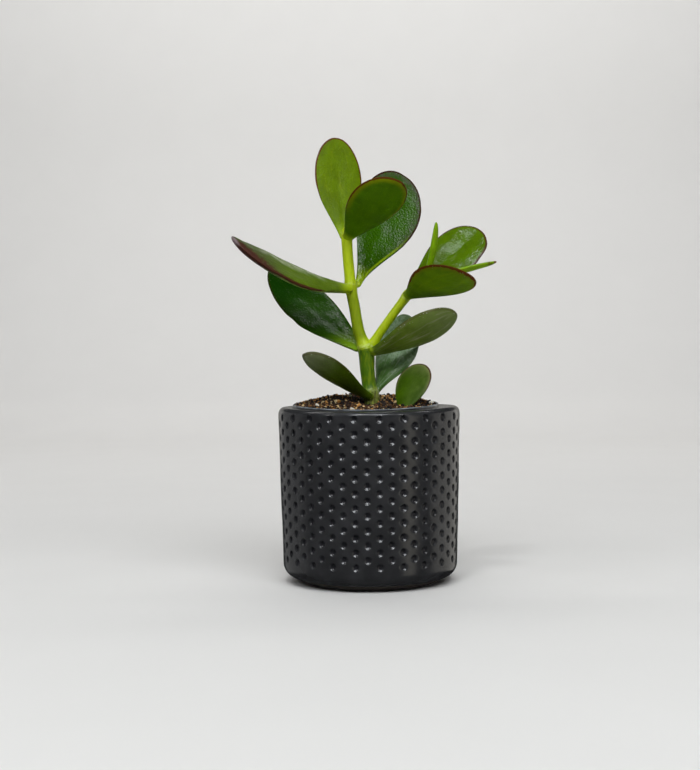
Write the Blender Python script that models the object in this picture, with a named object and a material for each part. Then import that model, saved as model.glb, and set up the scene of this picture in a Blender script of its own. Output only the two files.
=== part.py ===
# Young jade plant in a dimpled, dark glazed ceramic pot.
# Lengths in this file are millimetres; the mesh points are scaled to metres when an object is made.
# The middle of the underside of the pot's foot is the origin, +Z is up and the front faces -Y.
import math

import bpy
import numpy as np

MM = 0.001

# Pot body
FOOT_RADIUS = 29.4
FOOT_HEIGHT = 2.4
FOOT_EDGE = 0.5
UNDERSIDE_RADIUS = 33.2
BODY_LOW_RADIUS = 38.4
BODY_LOW_Z = 8.2
BODY_TOP_RADIUS = 40.0
BODY_TOP_Z = 72.2
RIM_BEND_Z = 73.6
RIM_CROWN_RADIUS = 37.4
RIM_CROWN_Z = 76.5
RIM_FLAT_RADIUS = 34.2
RIM_FLAT_Z = 76.3
RIM_FLAT_OFFSET_X = -0.36
RIM_FRONT_DIP = 1.5
RIM_DIP_SPREAD = 1.5
RIM_RING_HEIGHTS = (75.0, 75.8, 76.3, 76.5)
LOWER_RING_HEIGHTS = (7.0, 5.4, 3.9, 2.9)

# Thin lip round the opening, and the cavity below it; the opening sits a little off centre
LIP_RADIUS = 31.6
LIP_Z = 77.6
LIP_EDGE = 0.7
LIP_CREST = 0.385
LIP_FOOT_Z = 75.9
LIP_INNER_Z = 77.45
LIP_OFFSET_X = -1.45
LIP_BACK_RISE = 1.8
THROAT_RADIUS = 31.3
THROAT_Z = 68.0
CAVITY_CORNER_RADIUS = 29.6
CAVITY_CORNER_Z = 11.0
CAVITY_FLOOR_RADIUS = 27.5
CAVITY_FLOOR_Z = 6.6
CAVITY_OFFSET_X = 0.5 * LIP_OFFSET_X

# Dimples: columns round the wall, every second column half a pitch lower
DIMPLE_COLUMNS = 48
DIMPLE_ROWS = 21
DIMPLE_TOP_Z = 72.3
DIMPLE_PITCH = 6.13
DIMPLE_RADIUS = 1.3
DIMPLE_DEPTH = 1.0
DIMPLE_TURN = -84.0
WALL_BAND_TOP_Z = 74.2
WALL_BAND_LOW_Z = 8.4

# Gap left between pieces that touch
FIT = 0.3

# Potting mix: a mound that slopes down to the front, with a hollow round the stem
SOIL_SECTORS = 36
SOIL_RINGS = 9
SOIL_WALL_GAP = 0.45
SOIL_BELOW_LIP = 0.6
SOIL_MOUND = 4.6
SOIL_MOUND_POWER = 2.6
SOIL_FRONT_SHARE = 0.2
SOIL_SLOPE_FRONT_Y = -17.0
SOIL_SLOPE_BACK_Y = 1.0
SOIL_HOLLOW = 2.6
SOIL_HOLLOW_AT = (1.5, -3.0)
SOIL_HOLLOW_REACH = 5.5
SOIL_BOTTOM_Z = CAVITY_FLOOR_Z + FIT
STEM_HOLE_GAP = 0.4
STEM_HOLE_POINTS = 6
STEM_HOLE_SIDES = 24

# Crumbs on the potting mix: turns per mm in x and y, phase and height of each wave
CRUMB_WAVES = (
    (1.31, 1.17, 0.3, 0.125),
    (1.31, -1.17, 1.1, 0.125),
    (0.83, -1.52, 0.0, 0.2),
    (2.63, 1.9, 0.0, 0.15),
    (-2.4, 2.21, 2.67, 0.125),
)
CRUMB_EDGE_SHARE = 0.35
CRUMB_EDGE_SLOPE = 4.0

# Stem and its side branch: x, y, z, radius at each control point
STEM_LINE = (
    (1.2, 0.2, 48.0, 2.6),
    (1.2, 0.1, 62.0, 3.0),
    (1.15, 0.0, 74.0, 3.4),
    (1.05, -0.1, 79.5, 3.6),
    (0.6, -0.1, 82.9, 3.55),
    (0.1, 0.0, 86.2, 3.0),
    (-0.5, 0.1, 92.4, 3.05),
    (-0.7, 0.1, 98.0, 3.15),
    (-1.2, 0.0, 101.6, 3.35),
    (-2.8, 0.0, 105.7, 2.6),
    (-4.3, 0.1, 110.3, 2.4),
    (-5.7, 0.1, 119.0, 2.35),
    (-6.9, 0.0, 125.6, 2.5),
    (-7.4, 0.0, 129.2, 2.75),
    (-7.8, 0.0, 133.0, 2.45),
    (-8.3, 0.0, 138.0, 2.4),
    (-8.8, 0.0, 145.4, 2.4),
    (-9.0, 0.0, 150.2, 2.5),
    (-9.1, 0.0, 152.6, 2.3),
    (-9.2, 0.0, 154.6, 1.5),
    (-9.25, 0.0, 156.2, 0.5),
)
BRANCH_LINE = (
    (-0.9, 0.3, 100.6, 1.9),
    (1.6, 0.7, 103.4, 2.3),
    (4.0, 0.8, 106.9, 2.05),
    (7.0, 0.8, 111.3, 1.95),
    (12.4, 0.8, 118.5, 1.95),
    (15.9, 0.8, 123.1, 2.05),
    (17.7, 0.8, 125.6, 2.3),
    (19.6, 0.9, 127.6, 1.8),
    (22.0, 1.1, 129.9, 1.6),
    (24.7, 1.5, 132.5, 1.75),
    (25.9, 1.6, 133.8, 1.5),
    (26.9, 1.6, 135.0, 0.5),
)
STEM_SIDES = 14
BRANCH_SIDES = 12

# Leaf mesh: stations along each leaf, points round each section, and the length sunk past its base
LEAF_STATIONS = 13
LEAF_SIDES = 12
LEAF_TAIL = 2.0

# Leaf section: share of the thickness above the middle, and how the thickness runs along the leaf
UPPER_SHARE = 0.4
EDGE_SHARE = 0.9
PLUMPEST = 0.45
PLUMP_BASE = 0.75
PLUMP_END = 0.8

# Every leaf by the same sizes: where it springs, its heading, rise and roll in degrees, length, width,
# thickness, bend of its midrib in degrees, cupping across it, share of the length where it is widest,
# width of its base as a share of its width, and how late it widens.
LEAVES = {
    "leaf_1_front": dict(
        base=(0.7, -3.0, 80.7), heading=-151, rise=25.7, roll=11.4, length=37.0, width=20.2, thick=4.2,
        bend=11.5, cup=0.16, widest=0.68, neck=0.21, flare=1.66, colour="leaf_deep"),
    "leaf_1_back": dict(
        base=(3.1, 2.5, 83.3), heading=33.7, rise=50.8, roll=14.2, length=37.6, width=24.4, thick=4.2,
        bend=31.5, cup=-0.05, widest=0.56, neck=0.16, flare=1.6, colour="leaf_gloss"),
    "leaf_2_back": dict(
        base=(-4.2, 2.6, 102.6), heading=147.5, rise=26.4, roll=-20.1, length=58.0, width=28.8, thick=4.4,
        bend=32.0, cup=0.08, widest=0.55, neck=0.28, flare=1.33, colour="leaf_gloss"),
    "leaf_2_front": dict(
        base=(2.6, -2.5, 100.6), heading=-23.3, rise=15.7, roll=-25.4, length=40.7, width=22.6, thick=4.4,
        bend=18.0, cup=0.11, widest=0.62, neck=0.27, flare=1.39, colour="leaf_deep"),
    "leaf_3_front": dict(
        base=(-8.4, -2.2, 128.4), heading=-146.7, rise=4.9, roll=-30.4, length=65.0, width=27.9, thick=5.4,
        bend=29.4, cup=0.0, widest=0.56, neck=0.20, flare=1.49, colour="leaf_waxy"),
    "leaf_3_back": dict(
        base=(-4.4, 1.7, 130.2), heading=58.4, rise=54.5, roll=55.7, length=61.6, width=30.4, thick=4.6,
        bend=11.2, cup=0.18, widest=0.67, neck=0.10, flare=1.64, colour="leaf_gloss"),
    "leaf_4_back": dict(
        base=(-9.9, 1.8, 151.3), heading=120.4, rise=71.5, roll=-3.4, length=45.4, width=23.0, thick=3.6,
        bend=20.4, cup=0.08, widest=0.60, neck=0.22, flare=1.32, colour="leaf_pale"),
    "leaf_4_front": dict(
        base=(-8.2, -1.8, 150.8), heading=-54.5, rise=28.6, roll=-15.3, length=40.0, width=24.2, thick=3.6,
        bend=7.0, cup=0.12, widest=0.62, neck=0.23, flare=1.29, colour="leaf_olive"),
    "branch_leaf_1_front": dict(
        base=(17.9, -0.9, 125.0), heading=-51.6, rise=10.1, roll=-20.2, length=37.4, width=27.4, thick=3.8,
        bend=3.9, cup=0.08, widest=0.64, neck=0.21, flare=1.35, colour="leaf_olive"),
    "branch_leaf_1_back": dict(
        base=(18.8, 3.8, 126.3), heading=29.1, rise=33.0, roll=39.8, length=45.3, width=24.2, thick=3.8,
        bend=18.8, cup=0.14, widest=0.66, neck=0.21, flare=1.38, colour="leaf_gloss"),
    "branch_leaf_2_left": dict(
        base=(26.2, 2.7, 135.0), heading=170.0, rise=107.0, roll=0.0, length=22.8, width=6.4, thick=2.8,
        bend=12.0, cup=0.12, widest=0.60, neck=0.50, flare=1.2, colour="leaf_pale"),
    "branch_leaf_2_right": dict(
        base=(28.4, 0.9, 132.7), heading=0.8, rise=14.9, roll=1.4, length=29.4, width=6.4, thick=2.7,
        bend=-2.5, cup=0.12, widest=0.62, neck=0.50, flare=1.2, colour="leaf_pale"),
    "leaf_in_soil": dict(
        base=(14.7, -13.0, 75.4), heading=45.3, rise=53.8, roll=5.4, length=22.6, width=18.3, thick=3.2,
        bend=12.5, cup=0.08, widest=0.60, neck=0.32, flare=1.0, colour="leaf_deep"),
}

# Surface colours: red, green, blue, roughness
FINISHES = {
    "dark_glaze": (0.030, 0.031, 0.035, 0.30),
    "potting_mix": (0.060, 0.038, 0.024, 0.95),
    "stem_skin": (0.190, 0.290, 0.020, 0.45),
    "leaf_deep": (0.050, 0.085, 0.018, 0.50),
    "leaf_gloss": (0.035, 0.090, 0.022, 0.28),
    "leaf_waxy": (0.150, 0.200, 0.085, 0.55),
    "leaf_pale": (0.140, 0.260, 0.020, 0.45),
    "leaf_olive": (0.060, 0.120, 0.004, 0.45),
}


def clear_scene():
    """Leaves an empty scene."""
    for obj in list(bpy.data.objects):
        bpy.data.objects.remove(obj)


def finish(name):
    """The named surface, made once."""
    found = bpy.data.materials.get(name)
    if found:
        return found
    red, green, blue, rough = FINISHES[name]
    made = bpy.data.materials.new(name)
    made.use_nodes = True
    shader = made.node_tree.nodes["Principled BSDF"]
    shader.inputs["Base Color"].default_value = (red, green, blue, 1.0)
    shader.inputs["Roughness"].default_value = rough
    shader.inputs["Metallic"].default_value = 0.0
    made.diffuse_color = (red, green, blue, 1.0)
    return made


def make_object(name, points, faces, finish_name):
    """A smooth-shaded mesh object from points in millimetres."""
    mesh = bpy.data.meshes.new(name)
    mesh.from_pydata([tuple(float(c) * MM for c in p) for p in points], [], faces)
    mesh.validate()
    mesh.polygons.foreach_set("use_smooth", [True] * len(mesh.polygons))
    mesh.materials.append(finish(finish_name))
    obj = bpy.data.objects.new(name, mesh)
    bpy.context.scene.collection.objects.link(obj)
    return obj


def combine(obj, other, operation):
    """Applies one Boolean of the other object and removes that object."""
    step = obj.modifiers.new("combine", "BOOLEAN")
    step.operation = operation
    step.solver = "EXACT"
    step.object = other
    bpy.context.view_layer.update()
    graph = bpy.context.evaluated_depsgraph_get()
    result = bpy.data.meshes.new_from_object(obj.evaluated_get(graph))
    old = obj.data
    obj.modifiers.clear()
    obj.data = result
    result.name = old.name
    bpy.data.meshes.remove(old)
    spare = other.data
    bpy.data.objects.remove(other)
    bpy.data.meshes.remove(spare)
    obj.data.polygons.foreach_set("use_smooth", [True] * len(obj.data.polygons))


def ring_faces(first, second, count):
    """Quads between two rings of points, given the index of each ring's first point."""
    quads = []
    for i in range(count):
        j = (i + 1) % count
        quads.append((first + i, first + j, second + j, second + i))
    return quads


def loft(rings, close_start=True, close_end=True):
    """Points and faces of a closed loft through rings of equal count; a ring may shrink to one point."""
    count = len(rings[0])
    points, faces, starts = [], [], []
    for ring in rings:
        starts.append(len(points))
        points.extend(ring)
    for k in range(len(rings) - 1):
        a, b = starts[k], starts[k + 1]
        here, there = len(rings[k]), len(rings[k + 1])
        if here == there:
            faces.extend(ring_faces(a, b, count))
        elif there == 1:
            faces.extend((a + i, a + (i + 1) % count, b) for i in range(count))
        else:
            faces.extend((a, b + (i + 1) % count, b + i) for i in range(count))
    if close_start and len(rings[0]) > 1:
        points.append(np.mean(rings[0], axis=0))
        middle = len(points) - 1
        faces.extend((starts[0] + (i + 1) % count, starts[0] + i, middle) for i in range(count))
    if close_end and len(rings[-1]) > 1:
        points.append(np.mean(rings[-1], axis=0))
        middle = len(points) - 1
        faces.extend((starts[-1] + i, starts[-1] + (i + 1) % count, middle) for i in range(count))
    return points, faces


# Pot


def front_weight(angle):
    """1 straight at the front, falling to 0 at the sides and the back."""
    return max(0.0, math.cos(angle + math.pi / 2)) ** RIM_DIP_SPREAD


def rim_drop(angle, z):
    """How far the rim sits below level at this angle: it dips towards the front."""
    reach = min(1.0, max(0.0, (z - RIM_BEND_Z) / (LIP_Z - RIM_BEND_Z)))
    return RIM_FRONT_DIP * front_weight(angle) * reach


def wall_radius(z):
    """Outer radius of the pot at a height: tapered wall, round shoulder above, round edge below."""
    if z > RIM_BEND_Z:
        share = min(1.0, (z - RIM_BEND_Z) / (RIM_CROWN_Z - RIM_BEND_Z))
        return RIM_CROWN_RADIUS + (BODY_TOP_RADIUS - RIM_CROWN_RADIUS) * math.sqrt(1 - share * share)
    if z < BODY_LOW_Z:
        share = min(1.0, (BODY_LOW_Z - z) / (BODY_LOW_Z - FOOT_HEIGHT))
        return UNDERSIDE_RADIUS + (BODY_LOW_RADIUS - UNDERSIDE_RADIUS) * math.sqrt(1 - share * share)
    share = min(1.0, (z - BODY_LOW_Z) / (BODY_TOP_Z - BODY_LOW_Z))
    return BODY_LOW_RADIUS + (BODY_TOP_RADIUS - BODY_LOW_RADIUS) * share


def wall_point(angle, z, depth=0.0):
    """A point on the pot's outside, pressed in by depth."""
    radius = wall_radius(z) - depth
    return (radius * math.cos(angle), radius * math.sin(angle), z - rim_drop(angle, z))


def dimple_height(row):
    """Height of a half row of dimples; the bands above and below the dimples have their own heights."""
    if row < 0:
        return WALL_BAND_TOP_Z
    if row >= DIMPLE_ROWS:
        return WALL_BAND_LOW_Z
    return DIMPLE_TOP_Z - row * DIMPLE_PITCH / 2


def column_angle(column):
    """Angle of a column of dimples round the pot."""
    return math.radians(DIMPLE_TURN) + 2 * math.pi * column / DIMPLE_COLUMNS


def dimpled_wall(points, faces):
    """Adds the wall with its dimples and returns the point indices of its upper and lower borders."""
    corner = {}
    for column in range(DIMPLE_COLUMNS):
        for row in range(-1, DIMPLE_ROWS + 1):
            if (column + row) % 2:
                corner[column, row] = len(points)
                points.append(wall_point(column_angle(column), dimple_height(row)))
    for column in range(DIMPLE_COLUMNS):
        for row in range(DIMPLE_ROWS):
            if (column + row) % 2:
                continue
            angle, z = column_angle(column), dimple_height(row)
            hexagon = []
            for k in range(6):
                turn = math.radians(90 - 60 * k)
                across = DIMPLE_RADIUS * math.cos(turn) / wall_radius(z)
                hexagon.append(len(points))
                points.append(wall_point(angle + across, z + DIMPLE_RADIUS * math.sin(turn)))
            pit = len(points)
            points.append(wall_point(angle, z, DIMPLE_DEPTH))
            faces.extend((hexagon[(k + 1) % 6], hexagon[k], pit) for k in range(6))
            top = corner[column, row - 1]
            right = corner[(column + 1) % DIMPLE_COLUMNS, row]
            low = corner[column, row + 1]
            left = corner[(column - 1) % DIMPLE_COLUMNS, row]
            a, b, c, d, e, f = hexagon
            faces.extend((
                (top, a, b), (top, b, right), (right, b, c), (right, c, low), (low, c, d),
                (low, d, e), (low, e, left), (left, e, f), (left, f, top), (top, f, a),
            ))
    upper = [corner[k, -1] if (k - 1) % 2 else corner[k, 0] for k in range(DIMPLE_COLUMNS)]
    last = DIMPLE_ROWS - 1
    lower = [corner[k, last + 1] if (k + last + 1) % 2 else corner[k, last] for k in range(DIMPLE_COLUMNS)]
    return upper, lower


def add_ring(points, radius, z, offset_x=0.0, level=False, back_rise=0.0):
    """Adds one ring of points, in line with the dimple columns, and returns their indices."""
    start = len(points)
    for column in range(DIMPLE_COLUMNS):
        angle = column_angle(column)
        drop = 0.0 if level else rim_drop(angle, z) - back_rise * max(0.0, math.sin(angle))
        points.append((radius * math.cos(angle) + offset_x, radius * math.sin(angle), z - drop))
    return list(range(start, start + DIMPLE_COLUMNS))


def stitch(faces, upper, lower):
    """Quads between two rings of indices, facing out when the first one is above on the outside."""
    count = len(upper)
    for i in range(count):
        j = (i + 1) % count
        faces.append((upper[i], lower[i], lower[j], upper[j]))


def make_pot():
    """The glazed pot: dimpled wall, rounded rim with a thin raised lip, cavity and round foot."""
    points, faces = [], []
    upper, lower = dimpled_wall(points, faces)
    above = []
    for z in RIM_RING_HEIGHTS:
        above.append(add_ring(points, wall_radius(z), z))
    above.append(add_ring(points, RIM_FLAT_RADIUS, RIM_FLAT_Z, RIM_FLAT_OFFSET_X))
    above.append(add_ring(points, LIP_RADIUS + LIP_EDGE, LIP_FOOT_Z, LIP_OFFSET_X))
    above.append(add_ring(points, LIP_RADIUS + LIP_CREST, LIP_Z, LIP_OFFSET_X, back_rise=LIP_BACK_RISE))
    above.append(add_ring(points, LIP_RADIUS, LIP_INNER_Z, LIP_OFFSET_X, back_rise=LIP_BACK_RISE))
    above.append(add_ring(points, THROAT_RADIUS, THROAT_Z, LIP_OFFSET_X, level=True))
    above.append(add_ring(points, CAVITY_CORNER_RADIUS, CAVITY_CORNER_Z, CAVITY_OFFSET_X, level=True))
    above.append(add_ring(points, CAVITY_FLOOR_RADIUS, CAVITY_FLOOR_Z, CAVITY_OFFSET_X, level=True))
    stitch(faces, above[0], upper)
    for inner, outer in zip(above[1:], above[:-1]):
        stitch(faces, inner, outer)
    centre = len(points)
    points.append((CAVITY_OFFSET_X, 0.0, CAVITY_FLOOR_Z))
    floor = above[-1]
    faces.extend((floor[i], floor[(i + 1) % len(floor)], centre) for i in range(len(floor)))
    below = []
    for z in LOWER_RING_HEIGHTS:
        below.append(add_ring(points, wall_radius(z), z, level=True))
    below.append(add_ring(points, UNDERSIDE_RADIUS, FOOT_HEIGHT, level=True))
    below.append(add_ring(points, FOOT_RADIUS, FOOT_HEIGHT, level=True))
    below.append(add_ring(points, FOOT_RADIUS, FOOT_EDGE, level=True))
    below.append(add_ring(points, FOOT_RADIUS - FOOT_EDGE, 0.0, level=True))
    stitch(faces, lower, below[0])
    for outer, inner in zip(below[:-1], below[1:]):
        stitch(faces, outer, inner)
    centre = len(points)
    points.append((0.0, 0.0, 0.0))
    foot = below[-1]
    faces.extend((foot[(i + 1) % len(foot)], foot[i], centre) for i in range(len(foot)))
    return make_object("pot", points, faces, "dark_glaze")


# Potting mix


def crumb_height(x, y):
    """Height of the crumbs on the potting mix above or below its smooth mound."""
    return sum(height * math.sin(a * x + b * y + phase) for a, b, phase, height in CRUMB_WAVES)


def smooth_step(low, high, value):
    """0 below low, 1 above high, eased between."""
    share = min(1.0, max(0.0, (value - low) / (high - low)))
    return share * share * (3 - 2 * share)


def soil_height(angle, share):
    """Height of the potting mix at a share of the way out to the lip: a mound, lower at the front."""
    edge = LIP_Z - rim_drop(angle, LIP_Z) - SOIL_BELOW_LIP
    radius = share * LIP_RADIUS
    x, y = radius * math.cos(angle), radius * math.sin(angle)
    back = smooth_step(SOIL_SLOPE_FRONT_Y, SOIL_SLOPE_BACK_Y, y)
    rise = SOIL_MOUND * (SOIL_FRONT_SHARE + (1 - SOIL_FRONT_SHARE) * back)
    apart = math.hypot(x + LIP_OFFSET_X - SOIL_HOLLOW_AT[0], y - SOIL_HOLLOW_AT[1])
    hollow = SOIL_HOLLOW * math.exp(-0.5 * (apart / SOIL_HOLLOW_REACH) ** 2)
    crumbs = crumb_height(x, y) * min(1.0, CRUMB_EDGE_SLOPE * (1 - share) + CRUMB_EDGE_SHARE)
    return edge + rise * (1 - share ** SOIL_MOUND_POWER) - hollow + crumbs


def make_soil(cutters):
    """The potting mix: a plug that fills the pot, mounded and crumbly on top, with a hole for each stem."""
    rings = []
    plug = (
        (CAVITY_FLOOR_RADIUS, SOIL_BOTTOM_Z, CAVITY_OFFSET_X),
        (CAVITY_CORNER_RADIUS, CAVITY_CORNER_Z, CAVITY_OFFSET_X),
        (THROAT_RADIUS, THROAT_Z, LIP_OFFSET_X),
    )
    angles = [2 * math.pi * k / SOIL_SECTORS for k in range(SOIL_SECTORS)]
    for radius, z, shift in plug:
        reach = radius - SOIL_WALL_GAP
        rings.append([(reach * math.cos(t) + shift, reach * math.sin(t), z) for t in angles])
    edge = LIP_RADIUS - SOIL_WALL_GAP
    for k in range(SOIL_RINGS):
        share = 1 - k / SOIL_RINGS
        ring = []
        for t in angles:
            radius = edge * share
            ring.append((radius * math.cos(t) + LIP_OFFSET_X, radius * math.sin(t), soil_height(t, share)))
        rings.append(ring)
    rings.append([(LIP_OFFSET_X, 0.0, soil_height(0.0, 0.0))])
    points, faces = loft(rings, close_start=True, close_end=False)
    soil = make_object("soil", points, faces, "potting_mix")
    for cutter in cutters:
        combine(soil, cutter, "DIFFERENCE")
    return soil


# Stem


def tube_rings(path, sides):
    """Rings of points square to the path, each turned as little as possible from the one before."""
    rings = []
    across = np.array((0.0, 1.0, 0.0))
    for k, (x, y, z, radius) in enumerate(path):
        ahead = path[min(k + 1, len(path) - 1)][:3] - path[max(k - 1, 0)][:3]
        ahead = ahead / np.linalg.norm(ahead)
        across = across - ahead * np.dot(across, ahead)
        across = across / np.linalg.norm(across)
        other = np.cross(ahead, across)
        centre = np.array((x, y, z))
        turns = [2 * math.pi * i / sides for i in range(sides)]
        rings.append([centre + radius * (math.cos(t) * across + math.sin(t) * other) for t in turns])
    return rings


def make_stem(name, grow=0.0):
    """The stem with its side branch as one grown body; grow thickens it for cutting its clearances."""
    bodies = []
    for part, line, sides in (("main", STEM_LINE, STEM_SIDES), ("side", BRANCH_LINE, BRANCH_SIDES)):
        path = np.array(line, float)
        path[:, 3] += grow
        path[-1, :3] += grow * np.array((0.0, 0.0, 1.0))
        points, faces = loft(tube_rings(path, sides))
        bodies.append(make_object(name if part == "main" else name + "_side", points, faces, "stem_skin"))
    combine(bodies[0], bodies[1], "UNION")
    return bodies[0]


def stem_hole():
    """Cutter for the hole that the stem stands in."""
    path = np.array(STEM_LINE[:STEM_HOLE_POINTS], float)
    path[:, 3] += STEM_HOLE_GAP
    path[0, 2] -= FIT
    points, faces = loft(tube_rings(path, STEM_HOLE_SIDES))
    return make_object("stem_hole", points, faces, "potting_mix")


# Leaves


def leaf_frame(heading, rise, roll):
    """Unit vectors along the leaf, across it and out of its upper face."""
    heading, rise, roll = (math.radians(v) for v in (heading, rise, roll))
    along = np.array((
        math.cos(rise) * math.cos(heading),
        math.cos(rise) * math.sin(heading),
        math.sin(rise),
    ))
    across = np.cross((0.0, 0.0, 1.0), along)
    across = across / np.linalg.norm(across)
    up = np.cross(along, across)
    turned = across * math.cos(roll) + up * math.sin(roll)
    return along, turned, up * math.cos(roll) - across * math.sin(roll)


def outline(share, widest, neck, flare):
    """Half width at a share of the length, 1 at the widest place: slender base, round end."""
    if share < widest:
        return neck + (1 - neck) * math.sin(math.pi / 2 * max(0.0, share) / widest) ** flare
    past = min(1.0, (share - widest) / (1 - widest))
    return math.sqrt(max(0.0, 1 - past * past))


def plumpness(share):
    """Half thickness at a share of the length, 1 at the plumpest place."""
    return outline(share, PLUMPEST, PLUMP_BASE, 1.0) ** (PLUMP_END if share > PLUMPEST else 1.0)


def leaf_stations(widest):
    """Shares of the length at which the leaf has a section, closer together towards the tip."""
    low = LEAF_STATIONS // 2
    shares = [widest * k / low for k in range(low)]
    high = LEAF_STATIONS - low
    shares += [widest + (1 - widest) * math.sin(math.pi / 2 * k / (high - 1)) for k in range(high)]
    return shares


def leaf_rings(size, grow=0.0, tail=LEAF_TAIL):
    """Sections of one leaf from its sunk base to its tip, following a curved midrib."""
    along, across, up = leaf_frame(size["heading"], size["rise"], size["roll"])
    base = np.array(size["base"], float)
    bend = math.radians(size["bend"]) or 1e-6
    rings = []
    for share in [-tail / size["length"]] + leaf_stations(size["widest"]):
        turn = bend * max(0.0, share)
        reach = size["length"] * (math.sin(turn) / bend + min(0.0, share))
        lift = size["length"] * (1 - math.cos(turn)) / bend
        middle = base + reach * along + lift * up
        face = math.cos(turn) * up - math.sin(turn) * along
        half = size["width"] / 2 * outline(share, size["widest"], size["neck"], size["flare"])
        body = min(size["thick"] / 2 * plumpness(share), EDGE_SHARE * half)
        if half < 1e-6:
            rings.append([middle + grow * along])
            continue
        ring = []
        for k in range(LEAF_SIDES):
            turn_round = 2 * math.pi * k / LEAF_SIDES
            side, lens = math.cos(turn_round), math.sin(turn_round)
            face_share = 2 * UPPER_SHARE if lens > 0 else 2 * (1 - UPPER_SHARE)
            lift_out = (body + grow) * face_share * lens + size["cup"] * half * side * side
            ring.append(middle + (half + grow) * side * across + lift_out * face)
        rings.append(ring)
    return rings


def make_leaf(name, size):
    """One leaf, cut back to a small clearance from the stem that it grows on."""
    points, faces = loft(leaf_rings(size))
    leaf = make_object(name, points, faces, size["colour"])
    combine(leaf, make_stem("stem_clearance", FIT), "DIFFERENCE")
    return leaf


def soil_leaf_hole(size):
    """Cutter for the hole that the lone leaf stands in."""
    points, faces = loft(leaf_rings(size, grow=FIT, tail=LEAF_TAIL + FIT))
    return make_object("leaf_hole", points, faces, "potting_mix")


def main():
    clear_scene()
    make_pot()
    make_soil([stem_hole(), soil_leaf_hole(LEAVES["leaf_in_soil"])])
    make_stem("stem")
    for name, size in LEAVES.items():
        make_leaf(name, size)


main()
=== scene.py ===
"""Young jade plant in a dimpled, dark glazed pot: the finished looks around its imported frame.

Lengths are millimetres in the same frame as the solids, and points are scaled to metres when a mesh is made.
The middle of the underside of the pot's foot is the origin, +Z is up and the front faces -Y.
"""

import logging
import math
from collections.abc import Sequence
from dataclasses import dataclass, field, replace
from enum import Enum
from typing import ClassVar

import bmesh
import bpy
import numpy as np
from mathutils import Matrix, Vector


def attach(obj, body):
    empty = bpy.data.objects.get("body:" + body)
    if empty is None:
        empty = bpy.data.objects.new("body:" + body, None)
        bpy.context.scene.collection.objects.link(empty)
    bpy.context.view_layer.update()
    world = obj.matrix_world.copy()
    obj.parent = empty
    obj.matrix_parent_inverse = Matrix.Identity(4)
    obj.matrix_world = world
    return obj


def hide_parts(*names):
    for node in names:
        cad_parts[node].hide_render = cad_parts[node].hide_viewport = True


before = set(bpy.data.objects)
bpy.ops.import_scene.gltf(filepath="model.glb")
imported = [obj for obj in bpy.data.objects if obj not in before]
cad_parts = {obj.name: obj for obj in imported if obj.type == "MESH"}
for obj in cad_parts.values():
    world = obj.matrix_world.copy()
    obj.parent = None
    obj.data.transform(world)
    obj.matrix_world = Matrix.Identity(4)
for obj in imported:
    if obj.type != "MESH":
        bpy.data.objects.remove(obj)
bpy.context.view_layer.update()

MM = 0.001
LOG = logging.getLogger("jade_plant")

Colour = tuple[float, float, float]
Point = tuple[float, float, float]
Control = tuple[float, float, float, float]
Band = tuple[float, float]
Piece = bpy.types.Object
Paint = bpy.types.Material
Array = np.ndarray
Row = tuple[float, ...]
Socket = bpy.types.NodeSocket
Feed = Socket | float | Colour
Shell = tuple[Array, list[tuple[int, ...]]]


class Body(Enum):
    """The rigid body that each piece rides on."""

    ROOT = "root"


class Sum(Enum):
    """Arithmetic that a shader node can do."""

    ADD = "ADD"
    TAKE = "SUBTRACT"
    TIMES = "MULTIPLY"
    MOST = "MAXIMUM"


class Reading(Enum):
    """Values that a mesh carries at its points for its material to read."""

    EDGE = "edge_mm"
    ALONG = "along"
    FACE = "face"
    ACROSS = "across"
    TONE = "tone"
    PIT = "pit"
    RIM = "rim"
    HEIGHT = "height"
    SIDE_SHOOT = "side_shoot"


def ease(value: Array | float, low: float, high: float) -> Array:
    """Eases from 0 below low to 1 above high."""
    share = np.clip((np.asarray(value, float) - low) / (high - low), 0.0, 1.0)
    return share * share * (3.0 - 2.0 * share)


def deepened(colour: Colour, factor: float) -> Colour:
    """A colour with each of its parts multiplied by a factor."""
    return tuple(factor * part for part in colour)


def ring_turns(count: int) -> Array:
    """Angles of count points spread evenly round a ring, from 0."""
    return 2 * math.pi * np.arange(count) / count


def ring_points(angle: Array, radius: Array | float, z: Array | float, shift: float = 0.0) -> Array:
    """Points at angles round an axis that lies a shift along X, at a radius and a height."""
    return np.stack(np.broadcast_arrays(radius * np.cos(angle) + shift, radius * np.sin(angle), z), axis=-1)


class Ripple:
    """Smooth unevenness in space: a sum of seeded waves, between about -1 and 1."""

    FALL: ClassVar[float] = 0.6
    PEAK: ClassVar[float] = 1.6

    def __init__(self, seed: int, longest: float, shortest: float, count: int = 10) -> None:
        """Draws the waves.

        Args:
            seed: seed of the draw.
            longest: longest wave, in millimetres.
            shortest: shortest wave, in millimetres.
            count: number of waves.
        """
        draw = np.random.default_rng(seed)
        aim = draw.normal(size=(count, 3))
        aim /= np.linalg.norm(aim, axis=1, keepdims=True)
        lengths = np.geomspace(longest, shortest, count)
        self.turns = aim * (2 * math.pi / lengths)[:, None]
        self.phases = draw.uniform(0, 2 * math.pi, count)
        self.heights = (lengths / longest) ** self.FALL
        self.heights /= np.sqrt(np.sum(self.heights ** 2) * 0.5) * self.PEAK

    def at(self, points: Array) -> Array:
        """Height of the unevenness at points, given as an array of rows of x, y, z in millimetres."""
        return np.sin(points @ self.turns.T + self.phases) @ self.heights

    def over(self, points: Array) -> Array:
        """Height of the unevenness at a grid of points of any shape, whose last axis holds x, y, z."""
        return self.at(points.reshape(-1, 3)).reshape(points.shape[:-1])


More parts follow.
